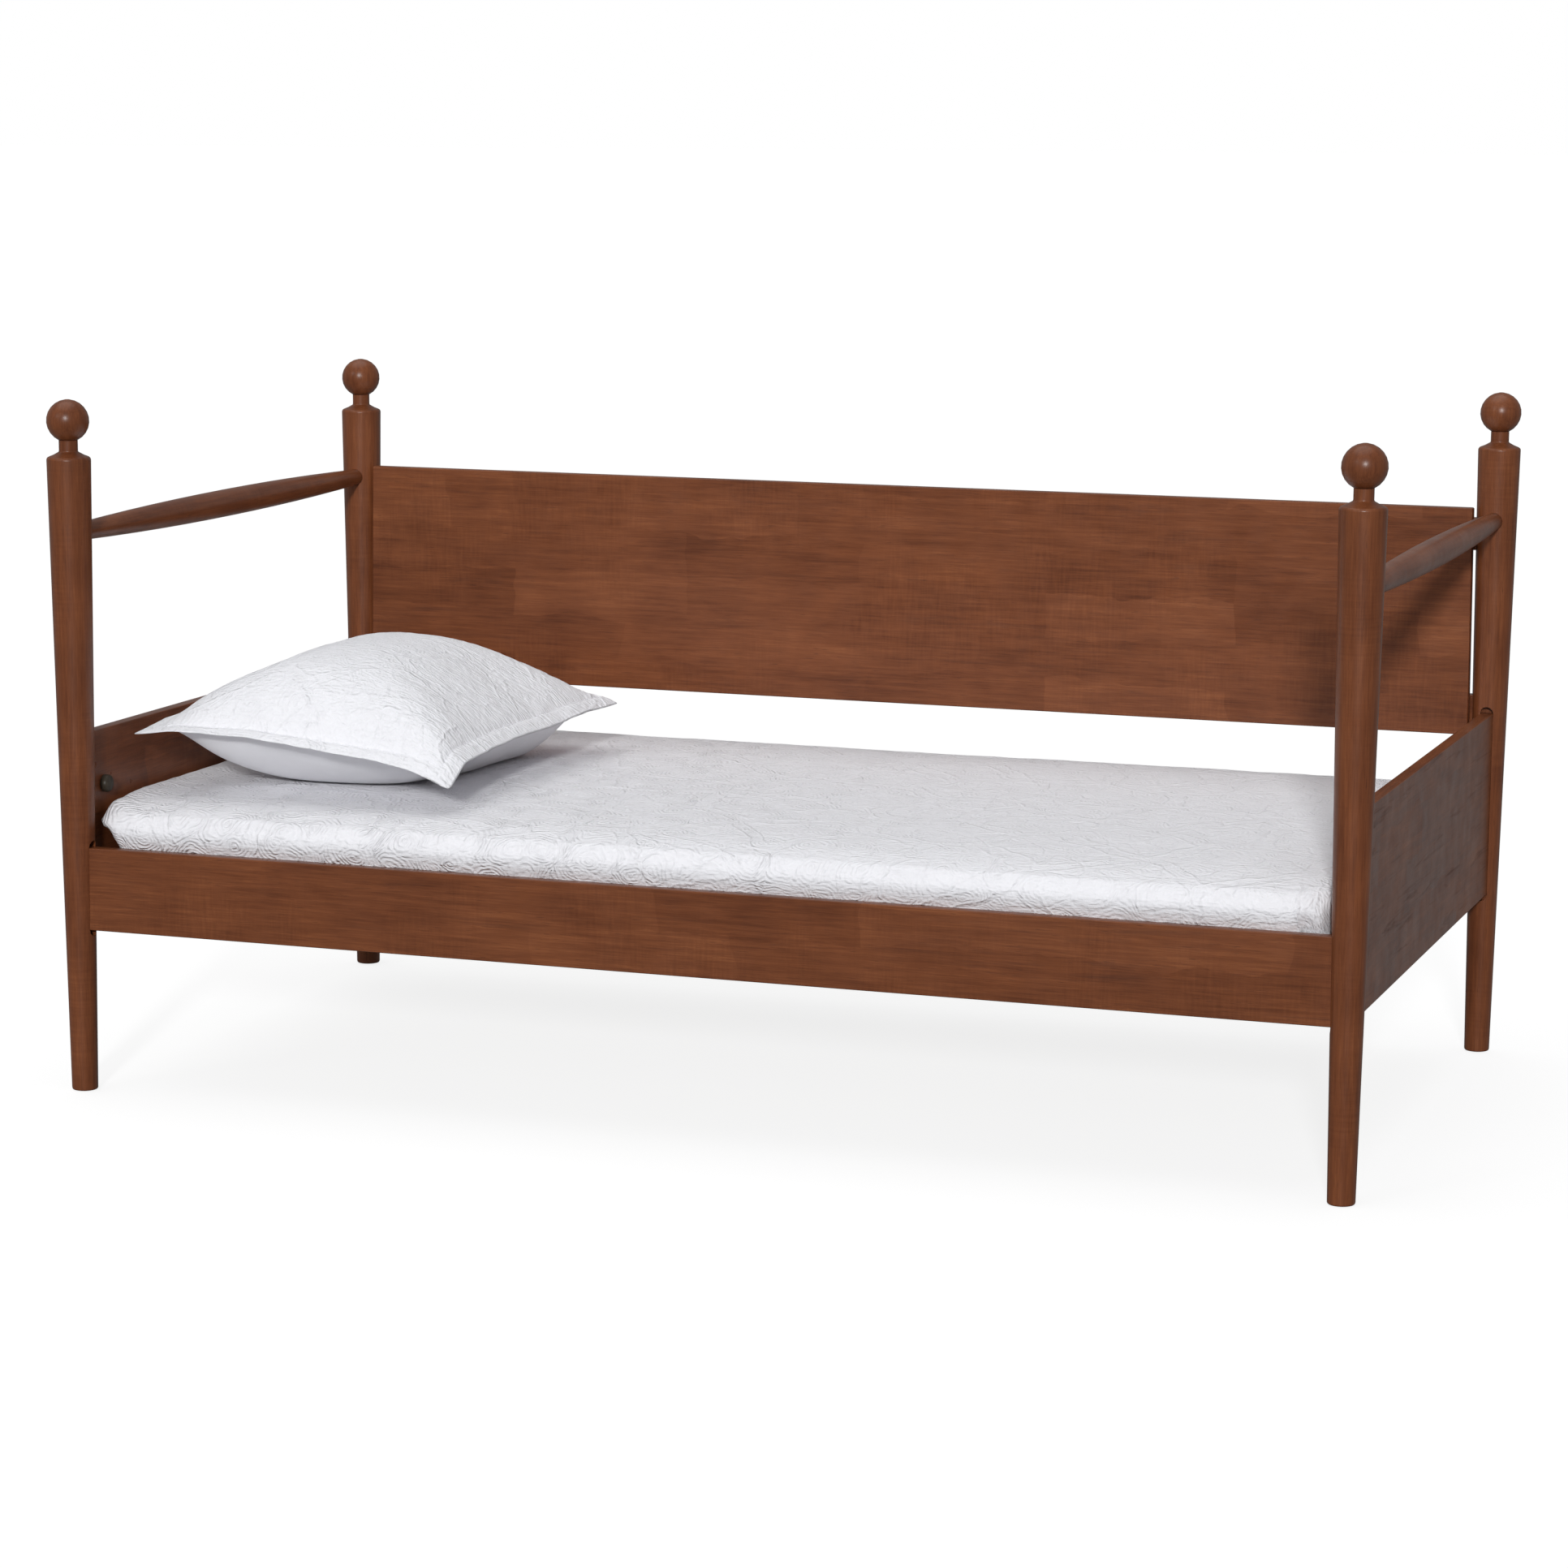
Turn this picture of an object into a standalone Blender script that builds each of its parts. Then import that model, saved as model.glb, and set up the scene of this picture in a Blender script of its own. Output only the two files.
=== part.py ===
"""Twin daybed in stained wood: turned posts, low panels, slatted base, mattress and pillow.

Metres, +Z up, +X along the bed's length, -Y the open front. The origin lies on the floor
under the middle of the bed.
"""
import math

import bmesh
import bpy
from mathutils import Matrix, Vector

# ---------------------------------------------------------------- driving dimensions
POST_SPACING_X = 1.950          # between post axes along the bed
POST_SPACING_Y = 1.030          # between post axes across the bed
POST_FOOT_RADIUS = 0.0198
POST_TAPER = 0.01368            # radius gained per metre of height
SHOULDER_Z = 0.960              # widest place of the post
SHOULDER_TOP_Z = 0.9652         # the shoulder slopes up from here to the neck
NECK_BASE_Z = 0.9710
NECK_RADIUS = 0.0141
BALL_RADIUS = 0.0318
BALL_CENTRE_Z = 1.0178
DOWEL_RADIUS = 0.0050           # the finial's tenon in the neck
DOWEL_LENGTH = 0.024

BOARD_THICKNESS = 0.020         # end panels and side rails
SLOT_FLOOR = 0.0120             # from the post's axis to the bottom of a board's slot
RAIL_BOTTOM_Z = 0.250
RAIL_TOP_Z = 0.3765
END_BOTTOM_Z = 0.2575
END_TOP_Z = 0.5480

ARM_Z = 0.8505
ARM_END_RADIUS = 0.0135
ARM_MIDDLE_RADIUS = 0.0217
ARM_TENON_DEPTH = 0.020         # how far the arm rail runs into the post

BACK_FRONT_Y = 0.4850           # front face of the back panel
BACK_THICKNESS = 0.018
BACK_BOTTOM_Z = 0.5130
BACK_TOP_Z = 0.8705
BACK_SIDE_GAP = 0.0016          # between the back panel's end and the post beside it
BATTEN_THICKNESS = 0.022
BATTEN_UPPER_Z = (0.8030, 0.8530)
BATTEN_LOWER_Z = (0.5240, 0.5740)
BATTEN_TENON_DEPTH = 0.014

CLEAT = 0.020                   # square section of the slat cleats
CLEAT_TOP_Z = 0.2725
SLAT_COUNT = 13
SLAT_WIDTH = 0.065
SLAT_THICKNESS = 0.015
SLAT_SPAN_X = 1.780             # between the first and the last slat's middles

MATTRESS_LENGTH = 1.879
MATTRESS_FRONT_Y = -0.4990
MATTRESS_REAR_Y = 0.4605
MATTRESS_BOTTOM_Z = 0.2886
MATTRESS_TOP_Z = 0.4405
MATTRESS_CORNER = 0.045         # radius of the upright corners
MATTRESS_EDGE = 0.028           # radius of the top and bottom edges
COVERLET_THICKNESS = 0.0040
COVERLET_HEM_Z = 0.2900

PILLOW_CENTRE = (-0.6675, -0.0825)
PILLOW_SIZE = (0.525, 0.695)    # over the sham's flange
PILLOW_TOP_Z = 0.672
PILLOW_RIM_Z = 0.528            # height of the flange in the middle
PILLOW_RIM_THICKNESS = 0.008
PILLOW_WAIST = 0.035            # how far the sides pull in between the corners

STUD_RADIUS = 0.0040
STUD_LENGTH = 0.074
STUD_IN_POST = 0.020            # how far a stud reaches past the slot's bottom
PANEL_STUD_Z = (0.3140, 0.4640)
RAIL_STUD_Z = (0.2790, 0.3490)
CAP_RADIUS = 0.0135
CAP_DOME = 0.0125               # how far a bolt cap stands out of the panel
CAP_SHANK_RADIUS = 0.0095
CAP_SHANK_LENGTH = 0.005
CAP_FROM_POST_AXIS = 0.066

GAP = 0.0003                    # left between touching pieces
ROUND_SEGMENTS = 28
ARM_SEGMENTS = 20
CAP_SEGMENTS = 16
BORE_SEGMENTS = 8

POST_X = POST_SPACING_X / 2
POST_Y = POST_SPACING_Y / 2
CORNERS = {
    "front_left": (-1, -1),
    "front_right": (1, -1),
    "rear_left": (-1, 1),
    "rear_right": (1, 1),
}


def post_radius(z):
    return POST_FOOT_RADIUS + POST_TAPER * z


# ---------------------------------------------------------------- materials
def material(name, colour, roughness, metallic=0.0):
    made = bpy.data.materials.get(name)
    if made is None:
        made = bpy.data.materials.new(name)
        made.use_nodes = True
        shader = made.node_tree.nodes["Principled BSDF"]
        shader.inputs["Base Color"].default_value = (*colour, 1.0)
        shader.inputs["Roughness"].default_value = roughness
        shader.inputs["Metallic"].default_value = metallic
    return made


def walnut(node):
    return material("walnut_" + node, (0.16, 0.055, 0.025), 0.42)


def slat_wood(node):
    return material("slat_wood_" + node, (0.55, 0.38, 0.22), 0.65)


def steel(node):
    return material("steel_" + node, (0.62, 0.61, 0.58), 0.35, 1.0)


def cap_plastic(node):
    return material("cap_plastic_" + node, (0.045, 0.036, 0.025), 0.40)


def white_cotton(node):
    return material("cotton_" + node, (0.86, 0.86, 0.88), 0.90)


# ---------------------------------------------------------------- modelling helpers
def finish_object(name, bm, surface):
    """Makes the object from a bmesh, with its origin in the middle of its box."""
    bmesh.ops.recalc_face_normals(bm, faces=bm.faces)
    low = Vector([min(v.co[i] for v in bm.verts) for i in range(3)])
    high = Vector([max(v.co[i] for v in bm.verts) for i in range(3)])
    middle = (low + high) / 2
    bmesh.ops.translate(bm, verts=bm.verts, vec=-middle)
    mesh = bpy.data.meshes.new(name)
    bm.to_mesh(mesh)
    bm.free()
    mesh.shade_smooth()
    mesh.set_sharp_from_angle(angle=math.radians(35))
    made = bpy.data.objects.new(name, mesh)
    made.location = middle
    bpy.context.scene.collection.objects.link(made)
    made.data.materials.append(surface(name))
    return made


def turned(profile, segments=ROUND_SEGMENTS):
    """A solid of revolution about Z. The profile is (radius, height), bottom to top."""
    bm = bmesh.new()
    rings = []
    for radius, z in profile:
        ring = []
        for step in range(segments):
            angle = 2 * math.pi * step / segments
            ring.append(bm.verts.new((radius * math.cos(angle), radius * math.sin(angle), z)))
        rings.append(ring)
    for lower, upper in zip(rings, rings[1:]):
        for step in range(segments):
            after = (step + 1) % segments
            bm.faces.new((lower[step], lower[after], upper[after], upper[step]))
    bm.faces.new(list(reversed(rings[0])))
    bm.faces.new(rings[-1])
    return bm


def arc(centre, radius, start, end, steps):
    """Points of an arc in a profile; the angles are in degrees, from +radius upwards."""
    points = []
    for step in range(steps + 1):
        angle = math.radians(start + (end - start) * step / steps)
        points.append((centre[0] + radius * math.cos(angle),
                       centre[1] + radius * math.sin(angle)))
    return points


def block(low, high):
    bm = bmesh.new()
    bmesh.ops.create_cube(bm, size=1.0)
    size = Vector(high) - Vector(low)
    bmesh.ops.scale(bm, verts=bm.verts, vec=size)
    bmesh.ops.translate(bm, verts=bm.verts, vec=(Vector(low) + Vector(high)) / 2)
    return bm


def round_edges(bm, width, segments=2, only=None):
    edges = [edge for edge in bm.edges if only is None or only(edge)]
    bmesh.ops.bevel(bm, geom=edges, offset=width, offset_type="OFFSET",
                    segments=segments, profile=0.5, affect="EDGES", clamp_overlap=True)
    return bm


def turn_to(bm, direction, place):
    """Turns a shape made along +Z so that it points along direction, and moves it."""
    turn = Vector((0, 0, 1)).rotation_difference(Vector(direction)).to_matrix().to_4x4()
    bmesh.ops.transform(bm, verts=bm.verts, matrix=Matrix.Translation(Vector(place)) @ turn)
    return bm


def cylinder(radius, length, direction, place, segments=BORE_SEGMENTS):
    return turn_to(turned([(radius, 0.0), (radius, length)], segments), direction, place)


def cutter(name, bm):
    made = finish_object(name, bm, walnut)
    made.hide_render = True
    made.display_type = "WIRE"
    return made


def cut(target, tools):
    """Cuts each tool out of the target with a Boolean modifier of its own."""
    for index, tool in enumerate(tools):
        modifier = target.modifiers.new("cut_%d" % index, "BOOLEAN")
        modifier.operation = "DIFFERENCE"
        modifier.solver = "EXACT"
        modifier.object = tool


# ---------------------------------------------------------------- posts and finials
def slot_cutter(name, corner, along_x, z_low, z_high):
    """The round-ended slot that takes a board's end, as a router leaves it."""
    side_x, side_y = CORNERS[corner]
    half = BOARD_THICKNESS / 2 + GAP
    outline = arc((0.0, z_high + GAP), half, 0, 180, 6)
    outline += arc((0.0, z_low - GAP), half, 180, 360, 6)
    near, far = SLOT_FLOOR, 2 * POST_FOOT_RADIUS + SLOT_FLOOR
    bm = bmesh.new()
    sides = []
    for depth in (near, far):
        if along_x:
            ring = [(side_x * (POST_X - depth), side_y * POST_Y + u, z) for u, z in outline]
        else:
            ring = [(side_x * POST_X + u, side_y * (POST_Y - depth), z) for u, z in outline]
        sides.append([bm.verts.new(point) for point in ring])
    count = len(outline)
    for step in range(count):
        after = (step + 1) % count
        bm.faces.new((sides[0][step], sides[0][after], sides[1][after], sides[1][step]))
    bm.faces.new(sides[0])
    bm.faces.new(sides[1])
    return cutter(name, bm)


def make_post(corner):
    side_x, side_y = CORNERS[corner]
    foot_round = 0.003
    shoulder_round = 0.0052
    cove = 0.003
    shoulder_radius = post_radius(SHOULDER_Z)
    profile = [(POST_FOOT_RADIUS - foot_round, 0.0)]
    profile += arc((POST_FOOT_RADIUS - foot_round, foot_round), foot_round, -60, 0, 2)
    profile += [(post_radius(z), z) for z in (0.20, 0.40, 0.60, 0.80)]
    profile += arc((shoulder_radius - shoulder_round, SHOULDER_Z), shoulder_round, 0, 72, 4)
    profile += [(NECK_RADIUS + cove + 0.006, SHOULDER_TOP_Z + 0.0022)]
    profile += list(reversed(arc((NECK_RADIUS + cove, NECK_BASE_Z + cove), cove, 180, 255, 3)))
    neck_top = BALL_CENTRE_Z - math.sqrt(BALL_RADIUS**2 - NECK_RADIUS**2) - GAP
    profile += [(NECK_RADIUS, neck_top)]
    bm = turned(profile)
    bmesh.ops.translate(bm, verts=bm.verts, vec=(side_x * POST_X, side_y * POST_Y, 0))
    post = finish_object("post_" + corner, bm, walnut)

    x, y = side_x * POST_X, side_y * POST_Y
    tools = [
        slot_cutter("rail_slot_" + corner, corner, True, RAIL_BOTTOM_Z, RAIL_TOP_Z),
        slot_cutter("end_slot_" + corner, corner, False, END_BOTTOM_Z, END_TOP_Z),
        cutter("dowel_bore_" + corner,
               cylinder(DOWEL_RADIUS + GAP, 0.05, (0, 0, 1), (x, y, neck_top - DOWEL_LENGTH),
                        ROUND_SEGMENTS)),
    ]
    arm_floor = post_radius(ARM_Z) - ARM_TENON_DEPTH - GAP
    tools.append(cutter("arm_bore_" + corner, cylinder(
        ARM_END_RADIUS + GAP, 0.05, (0, -side_y, 0), (x, y - side_y * arm_floor, ARM_Z), ARM_SEGMENTS)))
    stud_end = SLOT_FLOOR - STUD_IN_POST - GAP
    for z in RAIL_STUD_Z:
        tools.append(cutter("rail_stud_bore_%s_%d" % (corner, z * 1000), cylinder(
            STUD_RADIUS + GAP, 0.04, (-side_x, 0, 0), (x - side_x * stud_end, y, z))))
    for z in PANEL_STUD_Z:
        tools.append(cutter("panel_stud_bore_%s_%d" % (corner, z * 1000), cylinder(
            STUD_RADIUS + GAP, 0.04, (0, -side_y, 0), (x, y - side_y * stud_end, z))))
    if side_y > 0:
        for label, (low, high) in (("upper", BATTEN_UPPER_Z), ("lower", BATTEN_LOWER_Z)):
            floor = post_radius(low) - BATTEN_TENON_DEPTH - GAP
            inner = x - side_x * floor
            outer = x - side_x * (floor + 0.05)
            half = BATTEN_THICKNESS / 2 + GAP
            tools.append(cutter("batten_mortise_%s_%s" % (label, corner), block(
                (min(inner, outer), y - half, low - GAP),
                (max(inner, outer), y + half, high + GAP))))
    cut(post, tools)


def make_finial(corner):
    side_x, side_y = CORNERS[corner]
    base_angle = -math.degrees(math.acos(NECK_RADIUS / BALL_RADIUS))
    base_z = BALL_CENTRE_Z + BALL_RADIUS * math.sin(math.radians(base_angle))
    profile = [(DOWEL_RADIUS, base_z - DOWEL_LENGTH + 0.001), (DOWEL_RADIUS, base_z)]
    profile += arc((0.0, BALL_CENTRE_Z), BALL_RADIUS, base_angle, 84, 10)
    bm = turned(profile)
    bmesh.ops.translate(bm, verts=bm.verts, vec=(side_x * POST_X, side_y * POST_Y, 0))
    finish_object("ball_finial_" + corner, bm, walnut)


# ---------------------------------------------------------------- boards
def stud_bores(name, side_x, side_y, along_x, heights):
    """Bores in a board's end for its studs."""
    tools = []
    start = SLOT_FLOOR - STUD_IN_POST
    for z in heights:
        if along_x:
            place = (side_x * (POST_X - start), side_y * POST_Y, z)
            direction = (-side_x, 0, 0)
        else:
            place = (side_x * POST_X, side_y * (POST_Y - start), z)
            direction = (0, -side_y, 0)
        label = "%s_bore_%d_%d_%d" % (name, side_x, side_y, z * 1000)
        tools.append(cutter(label, cylinder(STUD_RADIUS + GAP, STUD_LENGTH + GAP,
                                            direction, place)))
    return tools


def make_side_rail(name, side_y):
    half_length = POST_X - SLOT_FLOOR - GAP
    half = BOARD_THICKNESS / 2
    bm = block((-half_length, side_y * POST_Y - half, RAIL_BOTTOM_Z),
               (half_length, side_y * POST_Y + half, RAIL_TOP_Z))
    rail = finish_object(name, round_edges(bm, 0.0015, 1), walnut)
    tools = []
    for side_x in (-1, 1):
        tools += stud_bores(name, side_x, side_y, True, RAIL_STUD_Z)
    cut(rail, tools)


def make_end_panel(name, side_x):
    half_length = POST_Y - SLOT_FLOOR - GAP
    half = BOARD_THICKNESS / 2
    bm = block((side_x * POST_X - half, -half_length, END_BOTTOM_Z),
               (side_x * POST_X + half, half_length, END_TOP_Z))
    panel = finish_object(name, round_edges(bm, 0.0015, 1), walnut)
    tools = []
    for side_y in (-1, 1):
        tools += stud_bores(name, side_x, side_y, False, PANEL_STUD_Z)
        for z in PANEL_STUD_Z:
            place = (side_x * (POST_X - half + CAP_SHANK_LENGTH + GAP),
                     side_y * (POST_Y - CAP_FROM_POST_AXIS), z)
            tools.append(cutter("%s_cap_hole_%d_%d" % (name, side_y, z * 1000), cylinder(
                CAP_SHANK_RADIUS + GAP, 0.03, (-side_x, 0, 0), place, CAP_SEGMENTS)))
    cut(panel, tools)


def make_back_panel():
    """The back panel, whose ends follow the taper of the posts beside them."""
    bm = bmesh.new()
    outline = []
    for side_x, z in ((-1, BACK_BOTTOM_Z), (1, BACK_BOTTOM_Z), (1, BACK_TOP_Z), (-1, BACK_TOP_Z)):
        outline.append((side_x * (POST_X - post_radius(z) - BACK_SIDE_GAP), z))
    rings = []
    for y in (BACK_FRONT_Y, BACK_FRONT_Y + BACK_THICKNESS):
        rings.append([bm.verts.new((x, y, z)) for x, z in outline])
    for step in range(4):
        after = (step + 1) % 4
        bm.faces.new((rings[0][step], rings[0][after], rings[1][after], rings[1][step]))
    bm.faces.new(rings[0])
    bm.faces.new(rings[1])
    finish_object("back_panel", round_edges(bm, 0.0018, 1), walnut)


def make_batten(name, z_range):
    """A rail behind the back panel, tenoned into both rear posts."""
    low, high = z_range
    half_length = POST_X - post_radius(low) + BATTEN_TENON_DEPTH
    front = max(POST_Y - BATTEN_THICKNESS / 2, BACK_FRONT_Y + BACK_THICKNESS + GAP)
    bm = block((-half_length, front, low), (half_length, POST_Y + BATTEN_THICKNESS / 2, high))
    finish_object(name, round_edges(bm, 0.0015, 1), walnut)


def make_arm_rail(name, side_x):
    """A spindle, fattest in the middle, with its ends let into the two posts."""
    reach = POST_Y - post_radius(ARM_Z)
    total = reach + ARM_TENON_DEPTH
    rings = 12
    profile = [(ARM_END_RADIUS, -total)]
    for step in range(rings + 1):
        y = -reach + 2 * reach * step / rings
        swell = (ARM_MIDDLE_RADIUS - ARM_END_RADIUS) * (1 - abs(y / reach) ** 2.1)
        profile.append((ARM_END_RADIUS + swell, y))
    profile.append((ARM_END_RADIUS, total))
    bm = turn_to(turned(profile, ARM_SEGMENTS), (0, 1, 0), (side_x * POST_X, 0, ARM_Z))
    finish_object(name, bm, walnut)


# ---------------------------------------------------------------- slatted base
def rail_inner_y():
    return POST_Y - BOARD_THICKNESS / 2 - GAP


def make_cleat(name, side_y):
    inner = rail_inner_y()
    half_length = POST_X - post_radius(RAIL_BOTTOM_Z) - 0.030
    y_range = sorted((side_y * inner, side_y * (inner - CLEAT)))
    bm = block((-half_length, y_range[0], CLEAT_TOP_Z - CLEAT),
               (half_length, y_range[1], CLEAT_TOP_Z))
    finish_object(name, round_edges(bm, 0.001, 1), walnut)


def is_lengthwise(edge):
    return abs(edge.verts[0].co.y - edge.verts[1].co.y) > 0.5


def make_slat(index):
    x = -SLAT_SPAN_X / 2 + SLAT_SPAN_X * index / (SLAT_COUNT - 1)
    half_length = rail_inner_y() - 0.002
    bottom = CLEAT_TOP_Z + GAP
    bm = block((x - SLAT_WIDTH / 2, -half_length, bottom),
               (x + SLAT_WIDTH / 2, half_length, bottom + SLAT_THICKNESS))
    finish_object("slat_%02d" % (index + 1), round_edges(bm, 0.002, 1, is_lengthwise), slat_wood)


# ---------------------------------------------------------------- fasteners
def stud_profile():
    return [(STUD_RADIUS, 0.0), (STUD_RADIUS, STUD_LENGTH)]


def make_studs(corner):
    """Studs that stand in the post and hold the ends of the rail and the end panel."""
    side_x, side_y = CORNERS[corner]
    start = SLOT_FLOOR - STUD_IN_POST
    for label, z in zip(("lower", "upper"), RAIL_STUD_Z):
        place = (side_x * (POST_X - start), side_y * POST_Y, z)
        bm = turn_to(turned(stud_profile(), BORE_SEGMENTS), (-side_x, 0, 0), place)
        finish_object("rail_stud_%s_%s" % (label, corner), bm, steel)
    for label, z in zip(("lower", "upper"), PANEL_STUD_Z):
        place = (side_x * POST_X, side_y * (POST_Y - start), z)
        bm = turn_to(turned(stud_profile(), BORE_SEGMENTS), (0, -side_y, 0), place)
        finish_object("panel_stud_%s_%s" % (label, corner), bm, steel)


def make_caps(corner):
    """Domed caps that close the access holes on an end panel's inner face."""
    side_x, side_y = CORNERS[corner]
    rim = 0.0035
    edge = 0.0055
    profile = [(CAP_SHANK_RADIUS, -CAP_SHANK_LENGTH), (CAP_SHANK_RADIUS, GAP), (CAP_RADIUS, GAP)]
    profile += [(CAP_RADIUS, rim)]
    profile += arc((CAP_RADIUS - edge, CAP_DOME - edge - 0.001), edge, 0, 70, 2)
    profile += [(0.0025, CAP_DOME)]
    for label, z in zip(("lower", "upper"), PANEL_STUD_Z):
        place = (side_x * (POST_X - BOARD_THICKNESS / 2),
                 side_y * (POST_Y - CAP_FROM_POST_AXIS), z)
        bm = turn_to(turned(profile, CAP_SEGMENTS), (-side_x, 0, 0), place)
        finish_object("bolt_cap_%s_%s" % (label, corner), bm, cap_plastic)


# ---------------------------------------------------------------- soft parts
def is_upright(edge):
    return abs(edge.verts[0].co.z - edge.verts[1].co.z) > 0.05


def rounded_slab(low, high, corner, top_edge, bottom_edge, segments=3):
    """A slab with rounded upright corners, then a rounded top and bottom edge."""
    bm = round_edges(block(low, high), corner, segments, is_upright)
    for height, width in ((high[2], top_edge), (low[2], bottom_edge)):
        if width <= 0:
            continue
        level = [edge for edge in bm.edges
                 if all(abs(v.co.z - height) < 1e-5 for v in edge.verts)]
        bmesh.ops.bevel(bm, geom=level, offset=width, offset_type="OFFSET",
                        segments=segments, profile=0.5, affect="EDGES", clamp_overlap=True)
    return bm


def make_mattress():
    half = MATTRESS_LENGTH / 2
    bm = rounded_slab((-half, MATTRESS_FRONT_Y, MATTRESS_BOTTOM_Z),
                      (half, MATTRESS_REAR_Y, MATTRESS_TOP_Z),
                      MATTRESS_CORNER, MATTRESS_EDGE, MATTRESS_EDGE / 2)
    finish_object("mattress", bm, white_cotton)


def make_coverlet():
    """A skin over the mattress's top and sides, open underneath."""
    half = MATTRESS_LENGTH / 2
    inner = COVERLET_THICKNESS * 0.12
    outer = COVERLET_THICKNESS + inner

    def slab(grow, bottom):
        return rounded_slab((-half - grow, MATTRESS_FRONT_Y - grow, bottom),
                            (half + grow, MATTRESS_REAR_Y + grow, MATTRESS_TOP_Z + grow),
                            MATTRESS_CORNER + grow, MATTRESS_EDGE + grow, 0)

    skin = finish_object("coverlet", slab(outer, COVERLET_HEM_Z), white_cotton)
    cut(skin, [cutter("coverlet_inside", slab(inner, COVERLET_HEM_Z - 0.02))])


def pillow_rim(u, v):
    """Height of the flange; u runs along the bed and v across it, from -1 to 1.

    It slopes down away from the end panel, and its front inner corner droops.
    """
    droop = 0.030 * ((1 + u) / 2) ** 3 * ((1 - v) / 2) ** 3
    return PILLOW_RIM_Z - 0.014 * u + 0.004 * v - droop


def make_pillow():
    """A plump pillow with a thin rim, flat underneath where it rests."""
    bottom = MATTRESS_TOP_Z + 1.12 * COVERLET_THICKNESS + 2 * GAP
    steps = 12
    bm = bmesh.new()
    sheets = []
    for upper in (True, False):
        rows = []
        for i in range(steps + 1):
            u = math.sin(math.pi / 2 * (2 * i / steps - 1))
            row = []
            for j in range(steps + 1):
                v = math.sin(math.pi / 2 * (2 * j / steps - 1))
                x = u * PILLOW_SIZE[0] / 2 * (1 - PILLOW_WAIST * (1 - v * v))
                y = v * PILLOW_SIZE[1] / 2 * (1 - PILLOW_WAIST * (1 - u * u))
                fill = max((1 - u * u) * (1 - v * v), 0.0)
                rim = pillow_rim(u, v)
                if upper:
                    z = rim + PILLOW_RIM_THICKNESS / 2
                    z += (PILLOW_TOP_Z - z) * fill ** 0.62
                else:
                    z = rim - PILLOW_RIM_THICKNESS / 2
                    z -= (z - bottom) * min(1.5 * fill ** 0.7, 1.0)
                row.append(bm.verts.new((PILLOW_CENTRE[0] + x, PILLOW_CENTRE[1] + y, z)))
            rows.append(row)
        for i in range(steps):
            for j in range(steps):
                bm.faces.new((rows[i][j], rows[i + 1][j], rows[i + 1][j + 1], rows[i][j + 1]))
        sheets.append(rows)
    rims = []
    for rows in sheets:
        ring = [rows[i][0] for i in range(steps)]
        ring += [rows[steps][j] for j in range(steps)]
        ring += [rows[steps - i][steps] for i in range(steps)]
        ring += [rows[0][steps - j] for j in range(steps)]
        rims.append(ring)
    count = len(rims[0])
    for step in range(count):
        after = (step + 1) % count
        bm.faces.new((rims[0][step], rims[0][after], rims[1][after], rims[1][step]))
    finish_object("pillow", bm, white_cotton)


# ---------------------------------------------------------------- the bed
def main():
    for old in list(bpy.data.objects):
        bpy.data.objects.remove(old, do_unlink=True)
    for corner in CORNERS:
        make_post(corner)
        make_finial(corner)
        make_studs(corner)
        make_caps(corner)
    for name, side in (("front", -1), ("rear", 1)):
        make_side_rail(name + "_rail", side)
        make_cleat(name + "_slat_cleat", side)
    for name, side in (("left", -1), ("right", 1)):
        make_end_panel("end_panel_" + name, side)
        make_arm_rail("arm_rail_" + name, side)
    make_back_panel()
    make_batten("back_batten_upper", BATTEN_UPPER_Z)
    make_batten("back_batten_lower", BATTEN_LOWER_Z)
    for index in range(SLAT_COUNT):
        make_slat(index)
    make_mattress()
    make_coverlet()
    make_pillow()


main()
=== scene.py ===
import math

import bmesh
import bpy
import numpy as np
from mathutils import Matrix, Vector
from mathutils.bvhtree import BVHTree


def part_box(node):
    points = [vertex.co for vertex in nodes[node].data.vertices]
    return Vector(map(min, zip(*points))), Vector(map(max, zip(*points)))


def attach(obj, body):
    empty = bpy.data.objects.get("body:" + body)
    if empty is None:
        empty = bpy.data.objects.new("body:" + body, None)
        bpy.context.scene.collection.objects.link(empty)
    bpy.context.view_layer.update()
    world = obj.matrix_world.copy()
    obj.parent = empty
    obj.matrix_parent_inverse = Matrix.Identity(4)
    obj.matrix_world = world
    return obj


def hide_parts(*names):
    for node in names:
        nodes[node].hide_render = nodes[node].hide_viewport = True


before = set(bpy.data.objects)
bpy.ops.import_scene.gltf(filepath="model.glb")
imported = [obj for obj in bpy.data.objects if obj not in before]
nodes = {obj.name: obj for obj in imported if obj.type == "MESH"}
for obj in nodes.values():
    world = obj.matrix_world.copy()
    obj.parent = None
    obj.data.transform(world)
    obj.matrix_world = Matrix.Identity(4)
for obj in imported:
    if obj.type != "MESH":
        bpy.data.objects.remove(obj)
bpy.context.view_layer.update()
scene = bpy.context.scene

# ---------------------------------------------------------------- numbers used below, in metres
FABRIC = 0.0024                  # thickness of the quilted cotton
FLANGE = 0.028                   # width of the sham's flat border
CELL = 0.0090                    # spacing of the coverlet's mesh
TURN_Z = 0.300                   # here the coverlet's sides start to turn under the mattress
TURN_RADIUS = 0.0095
TUCK = 0.085                     # how far it is tucked in under the mattress
SHAM_SIZE = (0.525, 0.685)       # over the sham's border
SHAM_CENTRE = (-0.6675, -0.0775)
SHAM_CROWN = 0.089               # height of the stuffed part over the border
SHAM_BELLY = 0.148               # depth below the border, before it is flattened on the bed
STITCH_PITCH = 0.0052
STITCH_LENGTH = 0.0034
RAIL_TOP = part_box("front_rail")[1].z
MATTRESS_LOW, MATTRESS_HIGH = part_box("mattress")
COVER_LOW, COVER_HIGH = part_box("coverlet")
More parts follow.
